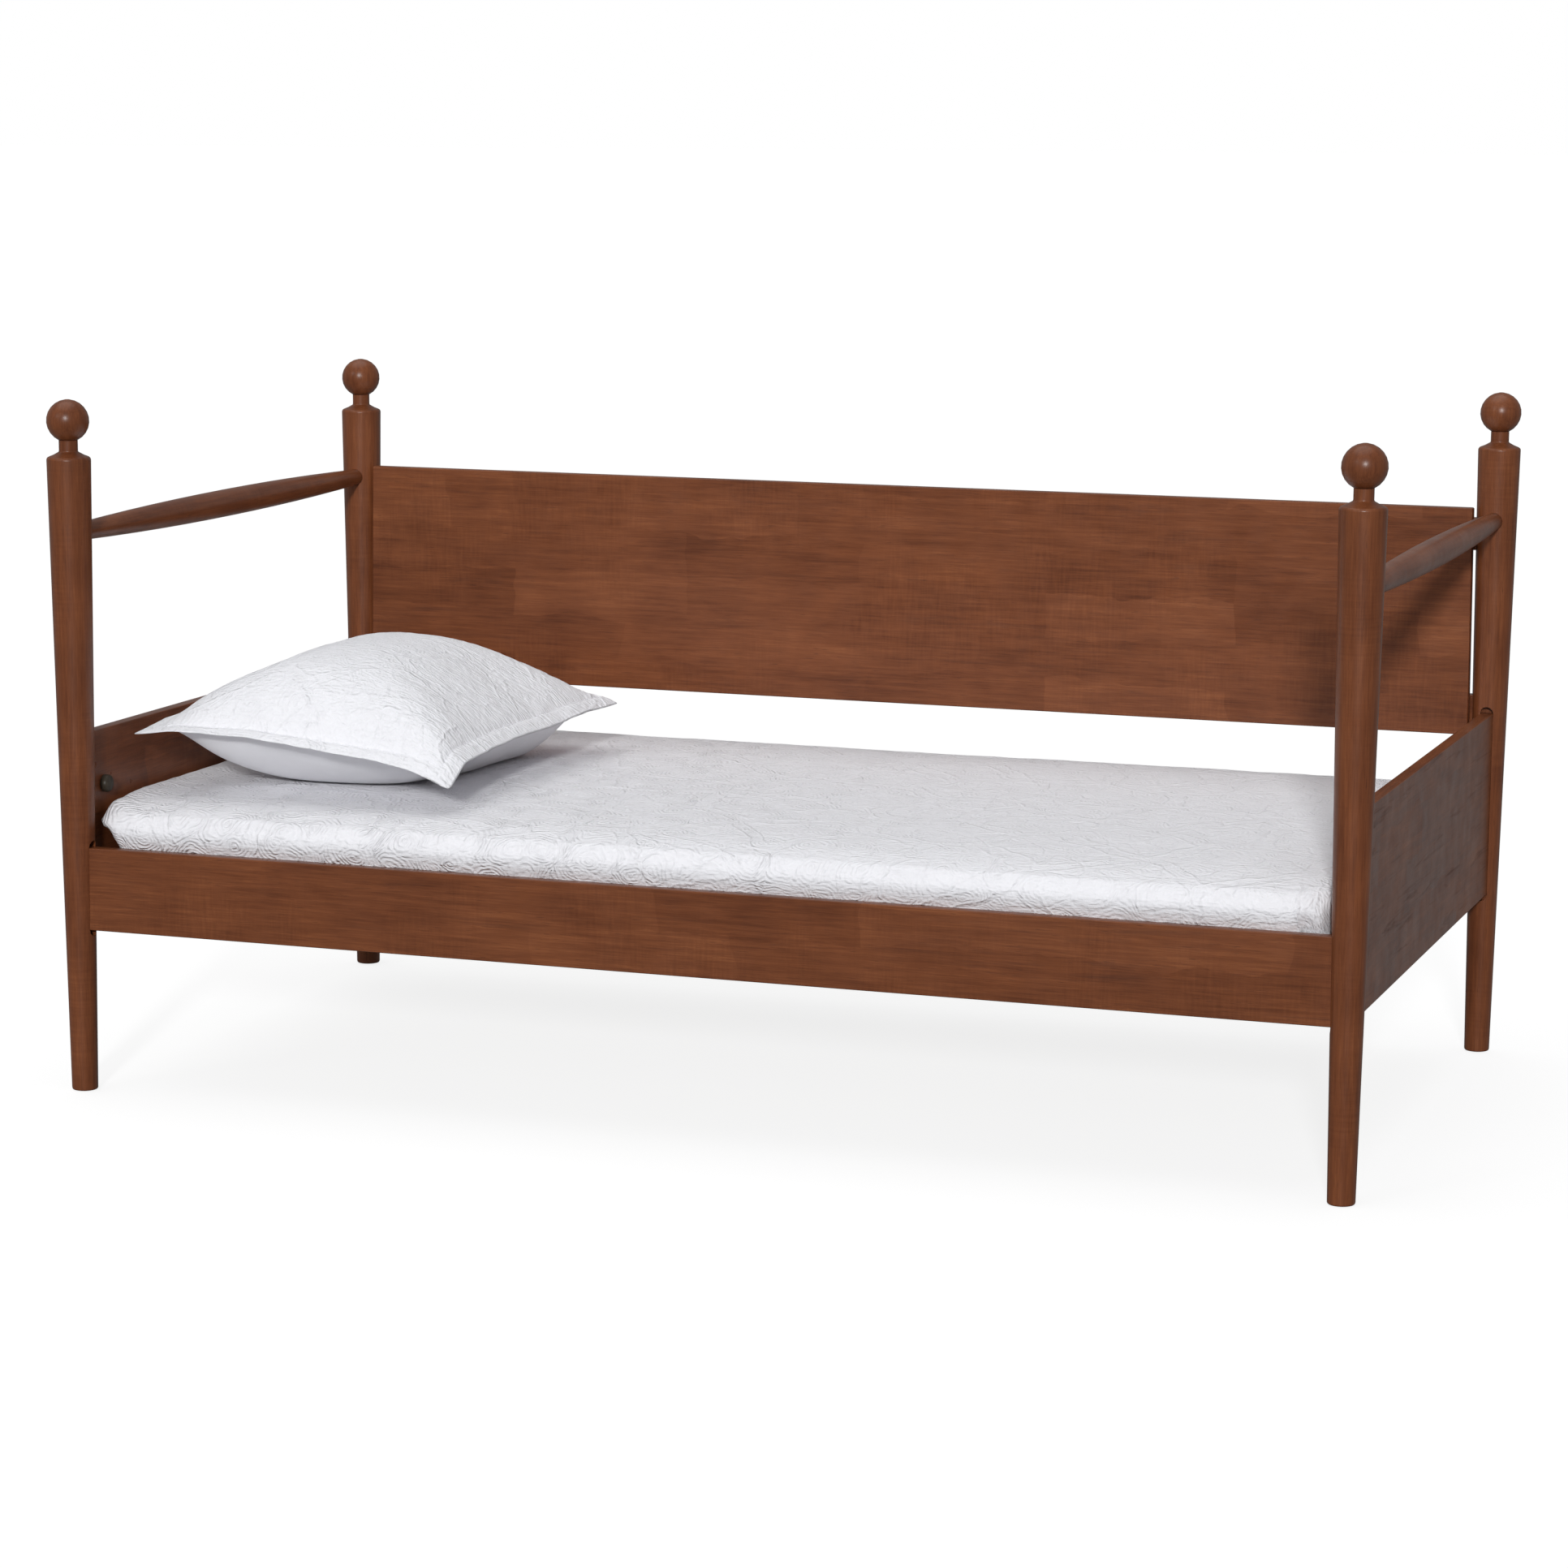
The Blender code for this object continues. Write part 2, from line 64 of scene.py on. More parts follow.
PILLOW_LOW, PILLOW_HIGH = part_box("pillow")


# ---------------------------------------------------------------- camera
def make_camera():
    """The photograph's viewpoint: front right, a little above the bed, with a vertical lens shift."""
    yaw, pitch, roll = 0.3364, 0.1962, -0.0061
    place = (2.1446, -6.2011, 1.5208)
    flat = math.cos(pitch)
    forward = Vector((-math.sin(yaw) * flat, math.cos(yaw) * flat, -math.sin(pitch)))
    level = Vector((math.cos(yaw), math.sin(yaw), 0.0))
    down = forward.cross(level)
    right = math.cos(roll) * level + math.sin(roll) * down
    down = math.cos(roll) * down - math.sin(roll) * level
    data = bpy.data.cameras.new("camera")
    data.sensor_width = 36.0
    data.lens = 98.575
    data.shift_y = 0.0950
    data.clip_end = 200.0
    camera = bpy.data.objects.new("camera", data)
    scene.collection.objects.link(camera)
    axes = Matrix((right, -down, -forward)).transposed()
    camera.matrix_world = Matrix.Translation(place) @ axes.to_4x4()
    scene.camera = camera


# ---------------------------------------------------------------- light and floor
def soft_sun(name, towards, power, spread):
    """A distant softbox; towards points from the bed to the light."""
    data = bpy.data.lights.new(name, "SUN")
    data.energy = power
    data.angle = math.radians(spread)
    lamp = bpy.data.objects.new(name, data)
    scene.collection.objects.link(lamp)
    lamp.rotation_mode = "QUATERNION"
    lamp.rotation_quaternion = Vector(towards).to_track_quat("Z", "Y")


def split_rays(tree, seen, lit, out):
    """The camera sees one shader, and the light that reaches the object comes from the other."""
    path = tree.nodes.new("ShaderNodeLightPath")
    mix = tree.nodes.new("ShaderNodeMixShader")
    tree.links.new(path.outputs["Is Camera Ray"], mix.inputs["Fac"])
    tree.links.new(lit.outputs[0], mix.inputs[1])
    tree.links.new(seen.outputs[0], mix.inputs[2])
    tree.links.new(mix.outputs[0], out.inputs["Surface"])
    return path


def make_studio():
    """Soft studio light; the floor and backdrop look white to the camera and light the bed less."""
    scene.view_settings.view_transform = "Standard"
    world = bpy.data.worlds.new("studio")
    world.use_nodes = True
    scene.world = world
    tree = world.node_tree
    tree.nodes.clear()
    seen = tree.nodes.new("ShaderNodeBackground")
    seen.inputs["Color"].default_value = (1.0, 1.0, 1.0, 1.0)
    lit = tree.nodes.new("ShaderNodeBackground")
    lit.inputs["Color"].default_value = (0.96, 0.98, 1.0, 1.0)
    lit.inputs["Strength"].default_value = 0.29
    split_rays(tree, seen, lit, tree.nodes.new("ShaderNodeOutputWorld"))

    soft_sun("key", (0.24, -0.92, 0.31), 1.95, 5.0)
    soft_sun("fill", (-0.50, -0.80, 0.45), 0.22, 16.0)
    soft_sun("overhead", (-0.15, 0.05, 0.98), 1.05, 60.0)

    bm = bmesh.new()
    bmesh.ops.create_circle(bm, cap_ends=True, segments=96, radius=90.0)
    mesh = bpy.data.meshes.new("floor")
    bm.to_mesh(mesh)
    bm.free()
    floor = bpy.data.objects.new("floor", mesh)
    scene.collection.objects.link(floor)
    floor.location.z = -0.0008
    made = bpy.data.materials.new("floor_paint")
    made.use_nodes = True
    tree = made.node_tree
    paint = tree.nodes["Principled BSDF"]
    paint.inputs["Base Color"].default_value = (0.25, 0.25, 0.25, 1.0)
    paint.inputs["Roughness"].default_value = 0.95
    paint.inputs["Specular IOR Level"].default_value = 0.0
    paint.inputs["Emission Color"].default_value = (1.0, 1.0, 1.0, 1.0)
    paint.inputs["Emission Strength"].default_value = 0.82
    dim = tree.nodes.new("ShaderNodeBsdfDiffuse")
    dim.inputs["Color"].default_value = (0.20, 0.20, 0.20, 1.0)
    glow = tree.nodes.new("ShaderNodeEmission")
    both = tree.nodes.new("ShaderNodeAddShader")
    tree.links.new(dim.outputs[0], both.inputs[0])
    tree.links.new(glow.outputs[0], both.inputs[1])
    path = split_rays(tree, paint, both, tree.nodes["Material Output"])
    share = tree.nodes.new("ShaderNodeMath")
    share.operation = "MULTIPLY"
    share.inputs[1].default_value = 0.09
    tree.links.new(path.outputs["Is Glossy Ray"], share.inputs[0])
    tree.links.new(share.outputs[0], glow.inputs["Strength"])
    mesh.materials.append(made)


# ---------------------------------------------------------------- node helpers
class Graph:
    """A material's node tree, with short calls for the nodes used here."""

    def __init__(self, name):
        self.material = bpy.data.materials.new(name)
        self.material.use_nodes = True
        self.tree = self.material.node_tree
        self.shader = self.tree.nodes["Principled BSDF"]

    def put(self, socket, value):
        if isinstance(value, bpy.types.NodeSocket):
            self.tree.links.new(value, socket)
        elif value is not None:
            socket.default_value = value

    def coordinates(self, kind="Object"):
        return self.tree.nodes.new("ShaderNodeTexCoord").outputs[kind]

    def vector(self, operation, a, b):
        node = self.tree.nodes.new("ShaderNodeVectorMath")
        node.operation = operation
        self.put(node.inputs[0], a)
        if operation == "SCALE":
            self.put(node.inputs["Scale"], b)
        else:
            self.put(node.inputs[1], b)
        return node.outputs[0]

    def math(self, operation, a, b=None, c=None, clamp=False):
        node = self.tree.nodes.new("ShaderNodeMath")
        node.operation = operation
        node.use_clamp = clamp
        self.put(node.inputs[0], a)
        self.put(node.inputs[1], b)
        if c is not None:
            self.put(node.inputs[2], c)
        return node.outputs[0]

    def separate(self, vector):
        node = self.tree.nodes.new("ShaderNodeSeparateXYZ")
        self.put(node.inputs[0], vector)
        return node.outputs

    def combine(self, x, y, z):
        node = self.tree.nodes.new("ShaderNodeCombineXYZ")
        for socket, value in zip(node.inputs, (x, y, z)):
            self.put(socket, value)
        return node.outputs[0]

    def noise(self, vector, scale, detail=2.0, roughness=0.5, distortion=0.0, colour=False):
        node = self.tree.nodes.new("ShaderNodeTexNoise")
        self.put(node.inputs["Vector"], vector)
        node.inputs["Scale"].default_value = scale
        node.inputs["Detail"].default_value = detail
        node.inputs["Roughness"].default_value = roughness
        node.inputs["Distortion"].default_value = distortion
        return node.outputs["Color" if colour else "Fac"]

    def voronoi(self, vector, scale, feature="F1", output="Distance", randomness=1.0, flat=True):
        node = self.tree.nodes.new("ShaderNodeTexVoronoi")
        node.voronoi_dimensions = "2D" if flat else "3D"
        node.feature = feature
        self.put(node.inputs["Vector"], vector)
        node.inputs["Scale"].default_value = scale
        node.inputs["Randomness"].default_value = randomness
        return node.outputs[output]

    def brick(self, vector, width, height, mortar=0.0, offset=0.37):
        node = self.tree.nodes.new("ShaderNodeTexBrick")
        node.offset = offset
        node.offset_frequency = 3
        self.put(node.inputs["Vector"], vector)
        node.inputs["Color1"].default_value = (0.0, 0.0, 0.0, 1.0)
        node.inputs["Color2"].default_value = (1.0, 1.0, 1.0, 1.0)
        node.inputs["Mortar"].default_value = (0.5, 0.5, 0.5, 1.0)
        node.inputs["Scale"].default_value = 1.0
        node.inputs["Mortar Size"].default_value = mortar
        node.inputs["Brick Width"].default_value = width
        node.inputs["Row Height"].default_value = height
        return node.outputs["Color"]

    def ramp(self, value, stops, smooth=False):
        node = self.tree.nodes.new("ShaderNodeValToRGB")
        node.color_ramp.interpolation = "EASE" if smooth else "LINEAR"
        elements = node.color_ramp.elements
        while len(elements) < len(stops):
            elements.new(0.5)
        for element, (place, colour) in zip(elements, stops):
            element.position = place
            element.color = (*colour, 1.0) if len(colour) == 3 else colour
        self.put(node.inputs[0], value)
        return node.outputs[0]

    def spread(self, value, low, high, to_low, to_high):
        node = self.tree.nodes.new("ShaderNodeMapRange")
        self.put(node.inputs["Value"], value)
        node.inputs["From Min"].default_value = low
        node.inputs["From Max"].default_value = high
        node.inputs["To Min"].default_value = to_low
        node.inputs["To Max"].default_value = to_high
        return node.outputs[0]

    def mix(self, share, a, b, blend="MIX"):
        node = self.tree.nodes.new("ShaderNodeMix")
        node.data_type = "RGBA"
        node.blend_type = blend
        self.put(node.inputs[0], share)
        self.put(node.inputs[6], a)
        self.put(node.inputs[7], b)
        return node.outputs[2]

    def bump(self, height, distance, strength=1.0, under=None):
        node = self.tree.nodes.new("ShaderNodeBump")
        node.inputs["Distance"].default_value = distance
        node.inputs["Strength"].default_value = strength
        self.put(node.inputs["Height"], height)
        if under is not None:
            self.put(node.inputs["Normal"], under)
        return node.outputs[0]

    def finish(self, colour, roughness, normal, **plain):
        self.put(self.shader.inputs["Base Color"], colour)
        self.put(self.shader.inputs["Roughness"], roughness)
        if normal is not None:
            self.put(self.shader.inputs["Normal"], normal)
        for name, value in plain.items():
            self.shader.inputs[name.replace("_", " ")].default_value = value
        return self.material


# ---------------------------------------------------------------- wood
def walnut(name, along, seed, staves=True, figure=1.0):
    """Stained close-grained wood under satin lacquer; along is the grain's axis, 0, 1 or 2.

    Boards are glued up from staves of slightly different tone; turned parts are one blank.
    """
    g = Graph(name)
    place = g.vector("ADD", g.coordinates(), (seed * 3.17, seed * 1.31, seed * 2.23))
    parts = list(g.separate(place))
    length = parts[along]
    across = [parts[i] for i in range(3) if i != along]
    side = g.math("ADD", across[1], g.math("MULTIPLY", across[0], 0.31))

    def stretched(stretch, scale, detail, roughness, distortion=0.0):
        where = g.combine(g.math("MULTIPLY", length, stretch), across[0], across[1])
        return g.noise(where, scale, detail, roughness, distortion)

    drift = g.vector("SUBTRACT", g.noise(place, 11.0, 2.0, colour=True), (0.5, 0.5, 0.5))
    drift = g.separate(g.vector("SCALE", drift, 0.05))
    cloud = stretched(0.55, 15.0, 3.0, 0.55, 0.4)
    streak = stretched(0.045, 150.0, 4.0, 0.62, 0.2)
    fibre = stretched(0.030, 620.0, 3.0, 0.65)
    patch = g.spread(g.noise(place, 7.0, 1.0), 0.42, 0.62, 0.0, 1.0)
    ripple = g.noise(g.combine(length, g.math("MULTIPLY", side, 0.10), 0.0), 230.0, 2.0, 0.5)
    ripple = g.math("MULTIPLY", g.math("SUBTRACT", ripple, 0.5), g.math("MULTIPLY", patch, 0.16))
    tone = g.math("ADD", g.math("MULTIPLY", cloud, 0.28 * figure), g.math("MULTIPLY", streak, 0.32))
    tone = g.math("ADD", tone, g.math("MULTIPLY", fibre, 0.30))
    tone = g.math("ADD", tone, 0.195 - 0.14 * figure)
    tone = g.math("ADD", tone, ripple)
    if staves:
        where = g.combine(g.math("ADD", length, drift[0]), g.math("ADD", side, drift[1]), 0.0)
        stave = g.brick(where, 0.31, 0.072)
        stave = g.math("SUBTRACT", stave, 0.5)
        tone = g.math("ADD", tone, g.math("MULTIPLY", stave, 0.085 * figure))
    colour = g.ramp(
        tone,
        (
            (0.32, (0.082, 0.0225, 0.0080)),
            (0.45, (0.140, 0.0415, 0.0150)),
            (0.56, (0.188, 0.0585, 0.0215)),
            (0.70, (0.262, 0.0890, 0.0330)),
        ),
    )
    # open pores: short dark dashes along the grain
    dash = stretched(0.045, 900.0, 1.0, 0.5)
    open_grain = g.spread(streak, 0.40, 0.62, 0.15, 1.0)
    pore = g.math("MULTIPLY", g.spread(dash, 0.665, 0.74, 0.0, 1.0), open_grain, clamp=True)
    colour = g.mix(g.math("MULTIPLY", pore, 0.55), colour, (0.040, 0.0125, 0.0060, 1.0))
    shine = g.spread(g.noise(place, 26.0, 3.0), 0.3, 0.7, 0.30, 0.38)
    if staves:
        mark = g.spread(stretched(0.07, 60.0, 4.0, 0.7, 0.6), 0.58, 0.76, 0.0, 0.34 * figure)
        colour = g.mix(mark, colour, (0.040, 0.0125, 0.0060, 1.0))
        shine = g.math("ADD", shine, g.math("MULTIPLY", stave, 0.05 * figure))
        shine = g.math("ADD", shine, g.math("MULTIPLY", mark, 0.35))
    height = g.math("ADD", g.math("MULTIPLY", fibre, 0.35), g.math("MULTIPLY", pore, -0.6))
    normal = g.bump(height, 0.00012, 0.55)
    normal = g.bump(g.noise(place, 140.0, 2.0), 0.00035, 0.25, normal)
    return g.finish(colour, shine, normal, Specular_IOR_Level=0.30)


def slat_pine(name):
    g = Graph(name)
    place = g.coordinates()
    x, y, z = g.separate(place)
    piece = g.math("FLOOR", g.math("MULTIPLY", g.math("ADD", x, 1.0), 6.74))
    where = g.combine(x, g.math("MULTIPLY", y, 0.05), g.math("ADD", z, g.math("MULTIPLY", piece, 0.37)))
    ring = g.noise(where, 60.0, 4.0, 0.55, 0.6)
    fibre = g.noise(g.combine(x, g.math("MULTIPLY", y, 0.02), z), 900.0, 2.0)
    knot = g.voronoi(g.combine(g.math("MULTIPLY", x, 1.6), g.math("MULTIPLY", y, 0.5), 0.0), 3.1)
    tone = g.math("ADD", g.math("MULTIPLY", ring, 0.8), g.math("MULTIPLY", fibre, 0.2))
    colour = g.ramp(
        tone,
        ((0.3, (0.40, 0.235, 0.115)), (0.5, (0.56, 0.375, 0.210)), (0.72, (0.66, 0.475, 0.290))),
    )
    colour = g.mix(g.spread(knot, 0.035, 0.055, 0.8, 0.0), colour, (0.13, 0.055, 0.022, 1.0))
    normal = g.bump(tone, 0.0002, 0.6)
    return g.finish(colour, g.spread(fibre, 0.3, 0.7, 0.55, 0.7), normal, Specular_IOR_Level=0.3)


def zinc(name):
    g = Graph(name)
    spangle = g.noise(g.coordinates(), 420.0, 3.0)
    colour = g.ramp(spangle, ((0.3, (0.50, 0.50, 0.48)), (0.7, (0.70, 0.69, 0.66))))
    shine = g.spread(spangle, 0.3, 0.7, 0.28, 0.45)
    return g.finish(colour, shine, g.bump(spangle, 0.0001, 0.4), Metallic=1.0)


def cap_plastic(name):
    g = Graph(name)
    grain = g.noise(g.coordinates(), 1400.0, 2.0)
    fade = g.noise(g.coordinates(), 160.0, 2.0)
    colour = g.ramp(fade, ((0.3, (0.030, 0.023, 0.015)), (0.7, (0.046, 0.036, 0.025))))
    shine = g.spread(grain, 0.3, 0.7, 0.34, 0.46)
    return g.finish(colour, shine, g.bump(grain, 0.00006, 0.5), Specular_IOR_Level=0.25)


# ---------------------------------------------------------------- white cotton
def tinted(tint, share):
    return tuple(share * c for c in tint)


def cotton(name, quilted, tint=(0.865, 0.862, 0.895), rings=0.30, fine=0.75):
    """White cotton in flat-cloth coordinates, in metres, kept in the mesh's UV map.

    A quilted face has raised scallops, which are rings round scattered middles, cut off where
    they meet, with leaf outlines, crinkles and fine lengthwise lines over them.
    """
    g = Graph(name)
    flat = g.coordinates("UV")
    weave_u = g.tree.nodes.new("ShaderNodeTexWave")
    weave_v = g.tree.nodes.new("ShaderNodeTexWave")
    for wave, direction in ((weave_u, "X"), (weave_v, "Y")):
        wave.bands_direction = direction
        g.put(wave.inputs["Vector"], flat)
        wave.inputs["Scale"].default_value = 310.0
        wave.inputs["Distortion"].default_value = 1.5
        wave.inputs["Detail"].default_value = 1.0
    weave = g.math("MULTIPLY", weave_u.outputs["Fac"], weave_v.outputs["Fac"])
    slub = g.noise(g.vector("MULTIPLY", flat, (1.0, 0.25, 1.0)), 300.0, 2.0)
    soft = g.noise(flat, 14.0, 4.0, 0.6)
    if not quilted:
        colour = g.ramp(soft, ((0.3, tinted(tint, 0.975)), (0.7, tinted(tint, 1.02))))
        normal = g.bump(g.noise(flat, 38.0, 4.0, 0.6), 0.0014, 0.45)
        normal = g.bump(g.math("ADD", weave, g.math("MULTIPLY", slub, 0.5)), 0.00022, 0.6, normal)
        return g.finish(
            colour, 0.85, normal, Specular_IOR_Level=0.18, Sheen_Weight=0.08, Sheen_Roughness=0.5
        )
    drift = g.vector("SUBTRACT", g.noise(flat, 13.0, 3.0, colour=True), (0.5, 0.5, 0.5))
    bent = g.vector("ADD", flat, g.vector("SCALE", drift, 0.052))
    middle = g.voronoi(bent, 16.0, randomness=0.85)
    ring = g.math("SINE", g.math("MULTIPLY", middle, 2 * math.pi * 9.0))
    strong = g.spread(g.noise(flat, 21.0, 1.0), 0.36, 0.60, 0.25, 1.0)
    strong = g.math("MULTIPLY", strong, g.spread(g.separate(flat)[0], -0.5, 0.5, rings, rings * 0.4))
    edge = g.voronoi(bent, 16.0, "DISTANCE_TO_EDGE", randomness=0.85)
    groove = g.spread(edge, 0.0, 0.06, 0.0, 1.0)
    leaf = g.voronoi(g.vector("ADD", bent, (3.3, 1.7, 0.0)), 6.2, "DISTANCE_TO_EDGE", randomness=0.95)
    outline = g.spread(g.math("ABSOLUTE", g.math("SUBTRACT", leaf, 0.085)), 0.0, 0.026, 1.0, 0.0)
    crinkle = g.noise(g.vector("ADD", flat, g.vector("SCALE", drift, 0.02)), 115.0, 3.0, 0.6)
    pucker = g.noise(g.vector("MULTIPLY", flat, (0.28, 1.0, 1.0)), 210.0, 2.0, 0.5, 0.4)
    line = g.noise(g.vector("MULTIPLY", bent, (0.09, 1.0, 1.0)), 150.0, 1.0, 0.5)
    height = g.math("ADD", g.math("MULTIPLY", ring, strong), g.math("MULTIPLY", groove, rings))
    height = g.math("ADD", height, g.math("MULTIPLY", outline, 0.50))
    height = g.math("ADD", height, g.math("MULTIPLY", crinkle, fine))
    height = g.math("ADD", height, g.math("MULTIPLY", pucker, fine))
    height = g.math("ADD", height, g.math("MULTIPLY", line, 1.1 - 0.6 * fine))
    # painted shade and light: the colour is darker in the quilting's low places and a little lighter on
    # its raised parts
    painted_relief_shade = g.spread(height, 0.5, 1.9, 0.955, 1.015)
    base = g.ramp(soft, ((0.3, tinted(tint, 0.985)), (0.7, tinted(tint, 1.01))))
    colour = g.vector("SCALE", base, painted_relief_shade)
    normal = g.bump(height, 0.0026, 1.0)
    normal = g.bump(g.math("ADD", weave, g.math("MULTIPLY", slub, 0.5)), 0.00022, 0.5, normal)
    return g.finish(
        colour, 0.88, normal, Specular_IOR_Level=0.15, Sheen_Weight=0.08, Sheen_Roughness=0.5
    )


def ticking(name):
    g = Graph(name)
    x = g.separate(g.coordinates())[0]
    stripe = g.math("SINE", g.math("MULTIPLY", x, 2 * math.pi / 0.032))
    thin = g.math("SINE", g.math("MULTIPLY", x, 2 * math.pi / 0.008))
    line = g.math("MULTIPLY", g.spread(stripe, 0.3, 0.6, 0.0, 1.0), g.spread(thin, 0.2, 0.6, 0.0, 1.0))
    soft = g.noise(g.coordinates(), 20.0, 3.0)
    base = g.ramp(soft, ((0.3, (0.70, 0.70, 0.70)), (0.7, (0.76, 0.76, 0.755))))
    colour = g.mix(g.math("MULTIPLY", line, 0.55), base, (0.38, 0.42, 0.50, 1.0))
    thread = g.noise(g.vector("MULTIPLY", g.coordinates(), (1.0, 0.3, 1.0)), 900.0, 2.0)
    return g.finish(colour, 0.85, g.bump(thread, 0.0003, 0.6), Specular_IOR_Level=0.2)


# ---------------------------------------------------------------- shading of the CAD nodes
def smooth_shading(obj, limit=math.radians(50)):
    """Rounds the shading over edges flatter than limit; the vertices stay as they are."""
    mesh = obj.data
    count = len(mesh.vertices)
    places = np.zeros(count * 3, np.float32)
    mesh.vertices.foreach_get("co", places)
    keys = np.round(places.reshape(-1, 3) * 1e5).astype(np.int64)
    _, same = np.unique(keys, axis=0, return_inverse=True)
    same = same.ravel()
    around = {}
    for face in mesh.polygons:
        for v in face.vertices:
            around.setdefault(int(same[v]), []).append(face.index)
    normals = [face.normal.copy() for face in mesh.polygons]
    areas = [face.area for face in mesh.polygons]
    least = math.cos(limit)
    found = []
    for face in mesh.polygons:
        own = normals[face.index]
        for v in face.vertices:
            total = Vector((0.0, 0.0, 0.0))
            for other in around[int(same[v])]:
                if normals[other].dot(own) > least:
                    total += normals[other] * areas[other]
            found.append(total.normalized() if total.length > 0 else own)
    mesh.polygons.foreach_set("use_smooth", [True] * len(mesh.polygons))
    mesh.normals_split_custom_set(found)


def give(obj, material):
    obj.data.materials.clear()
    obj.data.materials.append(material)
    obj.data.polygons.foreach_set("material_index", [0] * len(obj.data.polygons))
    obj.data.update()


def dress_frame():
    for index, corner in enumerate(("front_left", "front_right", "rear_left", "rear_right")):
        give(nodes["post_" + corner], walnut("walnut_post_" + corner, 2, 1 + index, staves=False))
        ball = walnut("walnut_ball_" + corner, 2, 11 + index, staves=False)
        give(nodes["ball_finial_" + corner], ball)
    boards = ("front_rail", "rear_rail", "back_panel", "back_batten_upper", "back_batten_lower",
              "front_slat_cleat", "rear_slat_cleat")
    for index, name in enumerate(boards):
        give(nodes[name], walnut("walnut_" + name, 0, 21 + index, staves="cleat" not in name))
    for index, side in enumerate(("left", "right")):
        give(nodes["end_panel_" + side], walnut("walnut_end_" + side, 1, 31 + index, figure=1.35))
        give(nodes["arm_rail_" + side], walnut("walnut_arm_" + side, 1, 41 + index, staves=False))
    pine, steel, plastic = slat_pine("slat_pine"), zinc("zinc"), cap_plastic("cap_plastic")
    for name, obj in nodes.items():
        if name.startswith("slat_"):
            give(obj, pine)
        elif "_stud_" in name:
            give(obj, steel)
        elif name.startswith("bolt_cap"):
            give(obj, plastic)
        if name not in ("mattress", "coverlet", "pillow"):
            smooth_shading(obj)


# ---------------------------------------------------------------- seeded noise for the cloth
TABLE = np.random.default_rng(7).permutation(256)
TABLE = np.concatenate([TABLE, TABLE, TABLE])
SLOPES = np.random.default_rng(11).normal(size=(256, 3))
SLOPES /= np.linalg.norm(SLOPES, axis=1, keepdims=True)


def gradient_noise(points):
    """Smooth noise of about -0.7 to 0.7 at an (n, 3) array of points."""
    cell = np.floor(points).astype(int)
    part = points - cell
    fade = part * part * part * (part * (part * 6 - 15) + 10)
    total = np.zeros(len(points))
    for corner in range(8):
        step = np.array([corner & 1, corner >> 1 & 1, corner >> 2 & 1])
        key = (cell + step) & 255
        index = TABLE[TABLE[TABLE[key[:, 0]] + key[:, 1]] + key[:, 2]]
        weight = np.prod(np.where(step, fade, 1 - fade), axis=1)
        total += weight * np.sum(SLOPES[index] * (part - step), axis=1)
    return total


def folds(points, scale, octaves=2, seed=0.0):
    total = np.zeros(len(points))
    for octave in range(octaves):
        total += gradient_noise(points * scale * 2 ** octave + seed + 19.1 * octave) / 2 ** octave
    return total


def bell(value, middle, width):
    return np.exp(-((value - middle) / width) ** 2)


def step_up(value, low, high):
    t = np.clip((value - low) / (high - low), 0, 1)
    return t * t * (3 - 2 * t)


# ---------------------------------------------------------------- coverlet and mattress
def closer_ends(cells):
    """Places from -1 to 1, a quarter closer together at the ends than evenly spaced."""
    even = np.linspace(-1, 1, cells + 1)
    return even + 0.08 * np.sin(math.pi * even)


def slab_rings(half_x, half_y, corner, edge, cell):
    """A grid over the top of a rounded block, and its border with outward directions.

    The grid ends where the top starts to turn down, edge inside the block's side.
    """
    ax, ay, inner = half_x - edge, half_y - edge, corner - edge
    nx, ny = int(round(2 * ax / cell)), int(round(2 * ay / cell))
    x, y = np.meshgrid(ax * closer_ends(nx), ay * closer_ends(ny), indexing="ij")
    inset = np.minimum(ax - abs(x), ay - abs(y))
    r = np.maximum(inner - inset, 1e-9)
    upright = (ax - abs(x)) <= (ay - abs(y))
    path = np.where(upright, -(ay - inset - abs(y)), ax - inset - abs(x))
    angle = np.clip((path / r + 1) / 2, 0, 1) * math.pi / 2
    bend = (abs(path) < r) & (inset < inner)
    px = np.where(bend, ax - inset - r + r * np.cos(angle), abs(x)) * np.sign(x)
    py = np.where(bend, ay - inset - r + r * np.sin(angle), abs(y)) * np.sign(y)
    loop = [(i, 0) for i in range(nx)] + [(nx, j) for j in range(ny)]
    loop += [(nx - i, ny) for i in range(nx)] + [(0, ny - j) for j in range(ny)]
    out_x = np.where(bend, np.cos(angle), upright.astype(float)) * np.sign(x)
    out_y = np.where(bend, np.sin(angle), (~upright).astype(float)) * np.sign(y)
    border = np.array([(px[i, j], py[i, j]) for i, j in loop])
    away = np.array([(out_x[i, j], out_y[i, j]) for i, j in loop])
    return px, py, loop, border, away


def new_mesh(name, points, faces, flat=None):
    mesh = bpy.data.meshes.new(name)
    mesh.from_pydata([tuple(p) for p in points], [], faces)
    if flat is not None:
        layer = mesh.uv_layers.new(name="UVMap")
        index = np.zeros(len(mesh.loops), np.int32)
        mesh.loops.foreach_get("vertex_index", index)
        layer.data.foreach_set("uv", flat[index].astype(np.float32).ravel())
    mesh.polygons.foreach_set("use_smooth", [True] * len(mesh.polygons))
    mesh.update()
    obj = bpy.data.objects.new(name, mesh)
    scene.collection.objects.link(obj)
    return obj


def apply_modifiers(obj):
    graph = bpy.context.evaluated_depsgraph_get()
    mesh = bpy.data.meshes.new_from_object(obj.evaluated_get(graph))
    obj.modifiers.clear()
    obj.data = mesh
    return obj


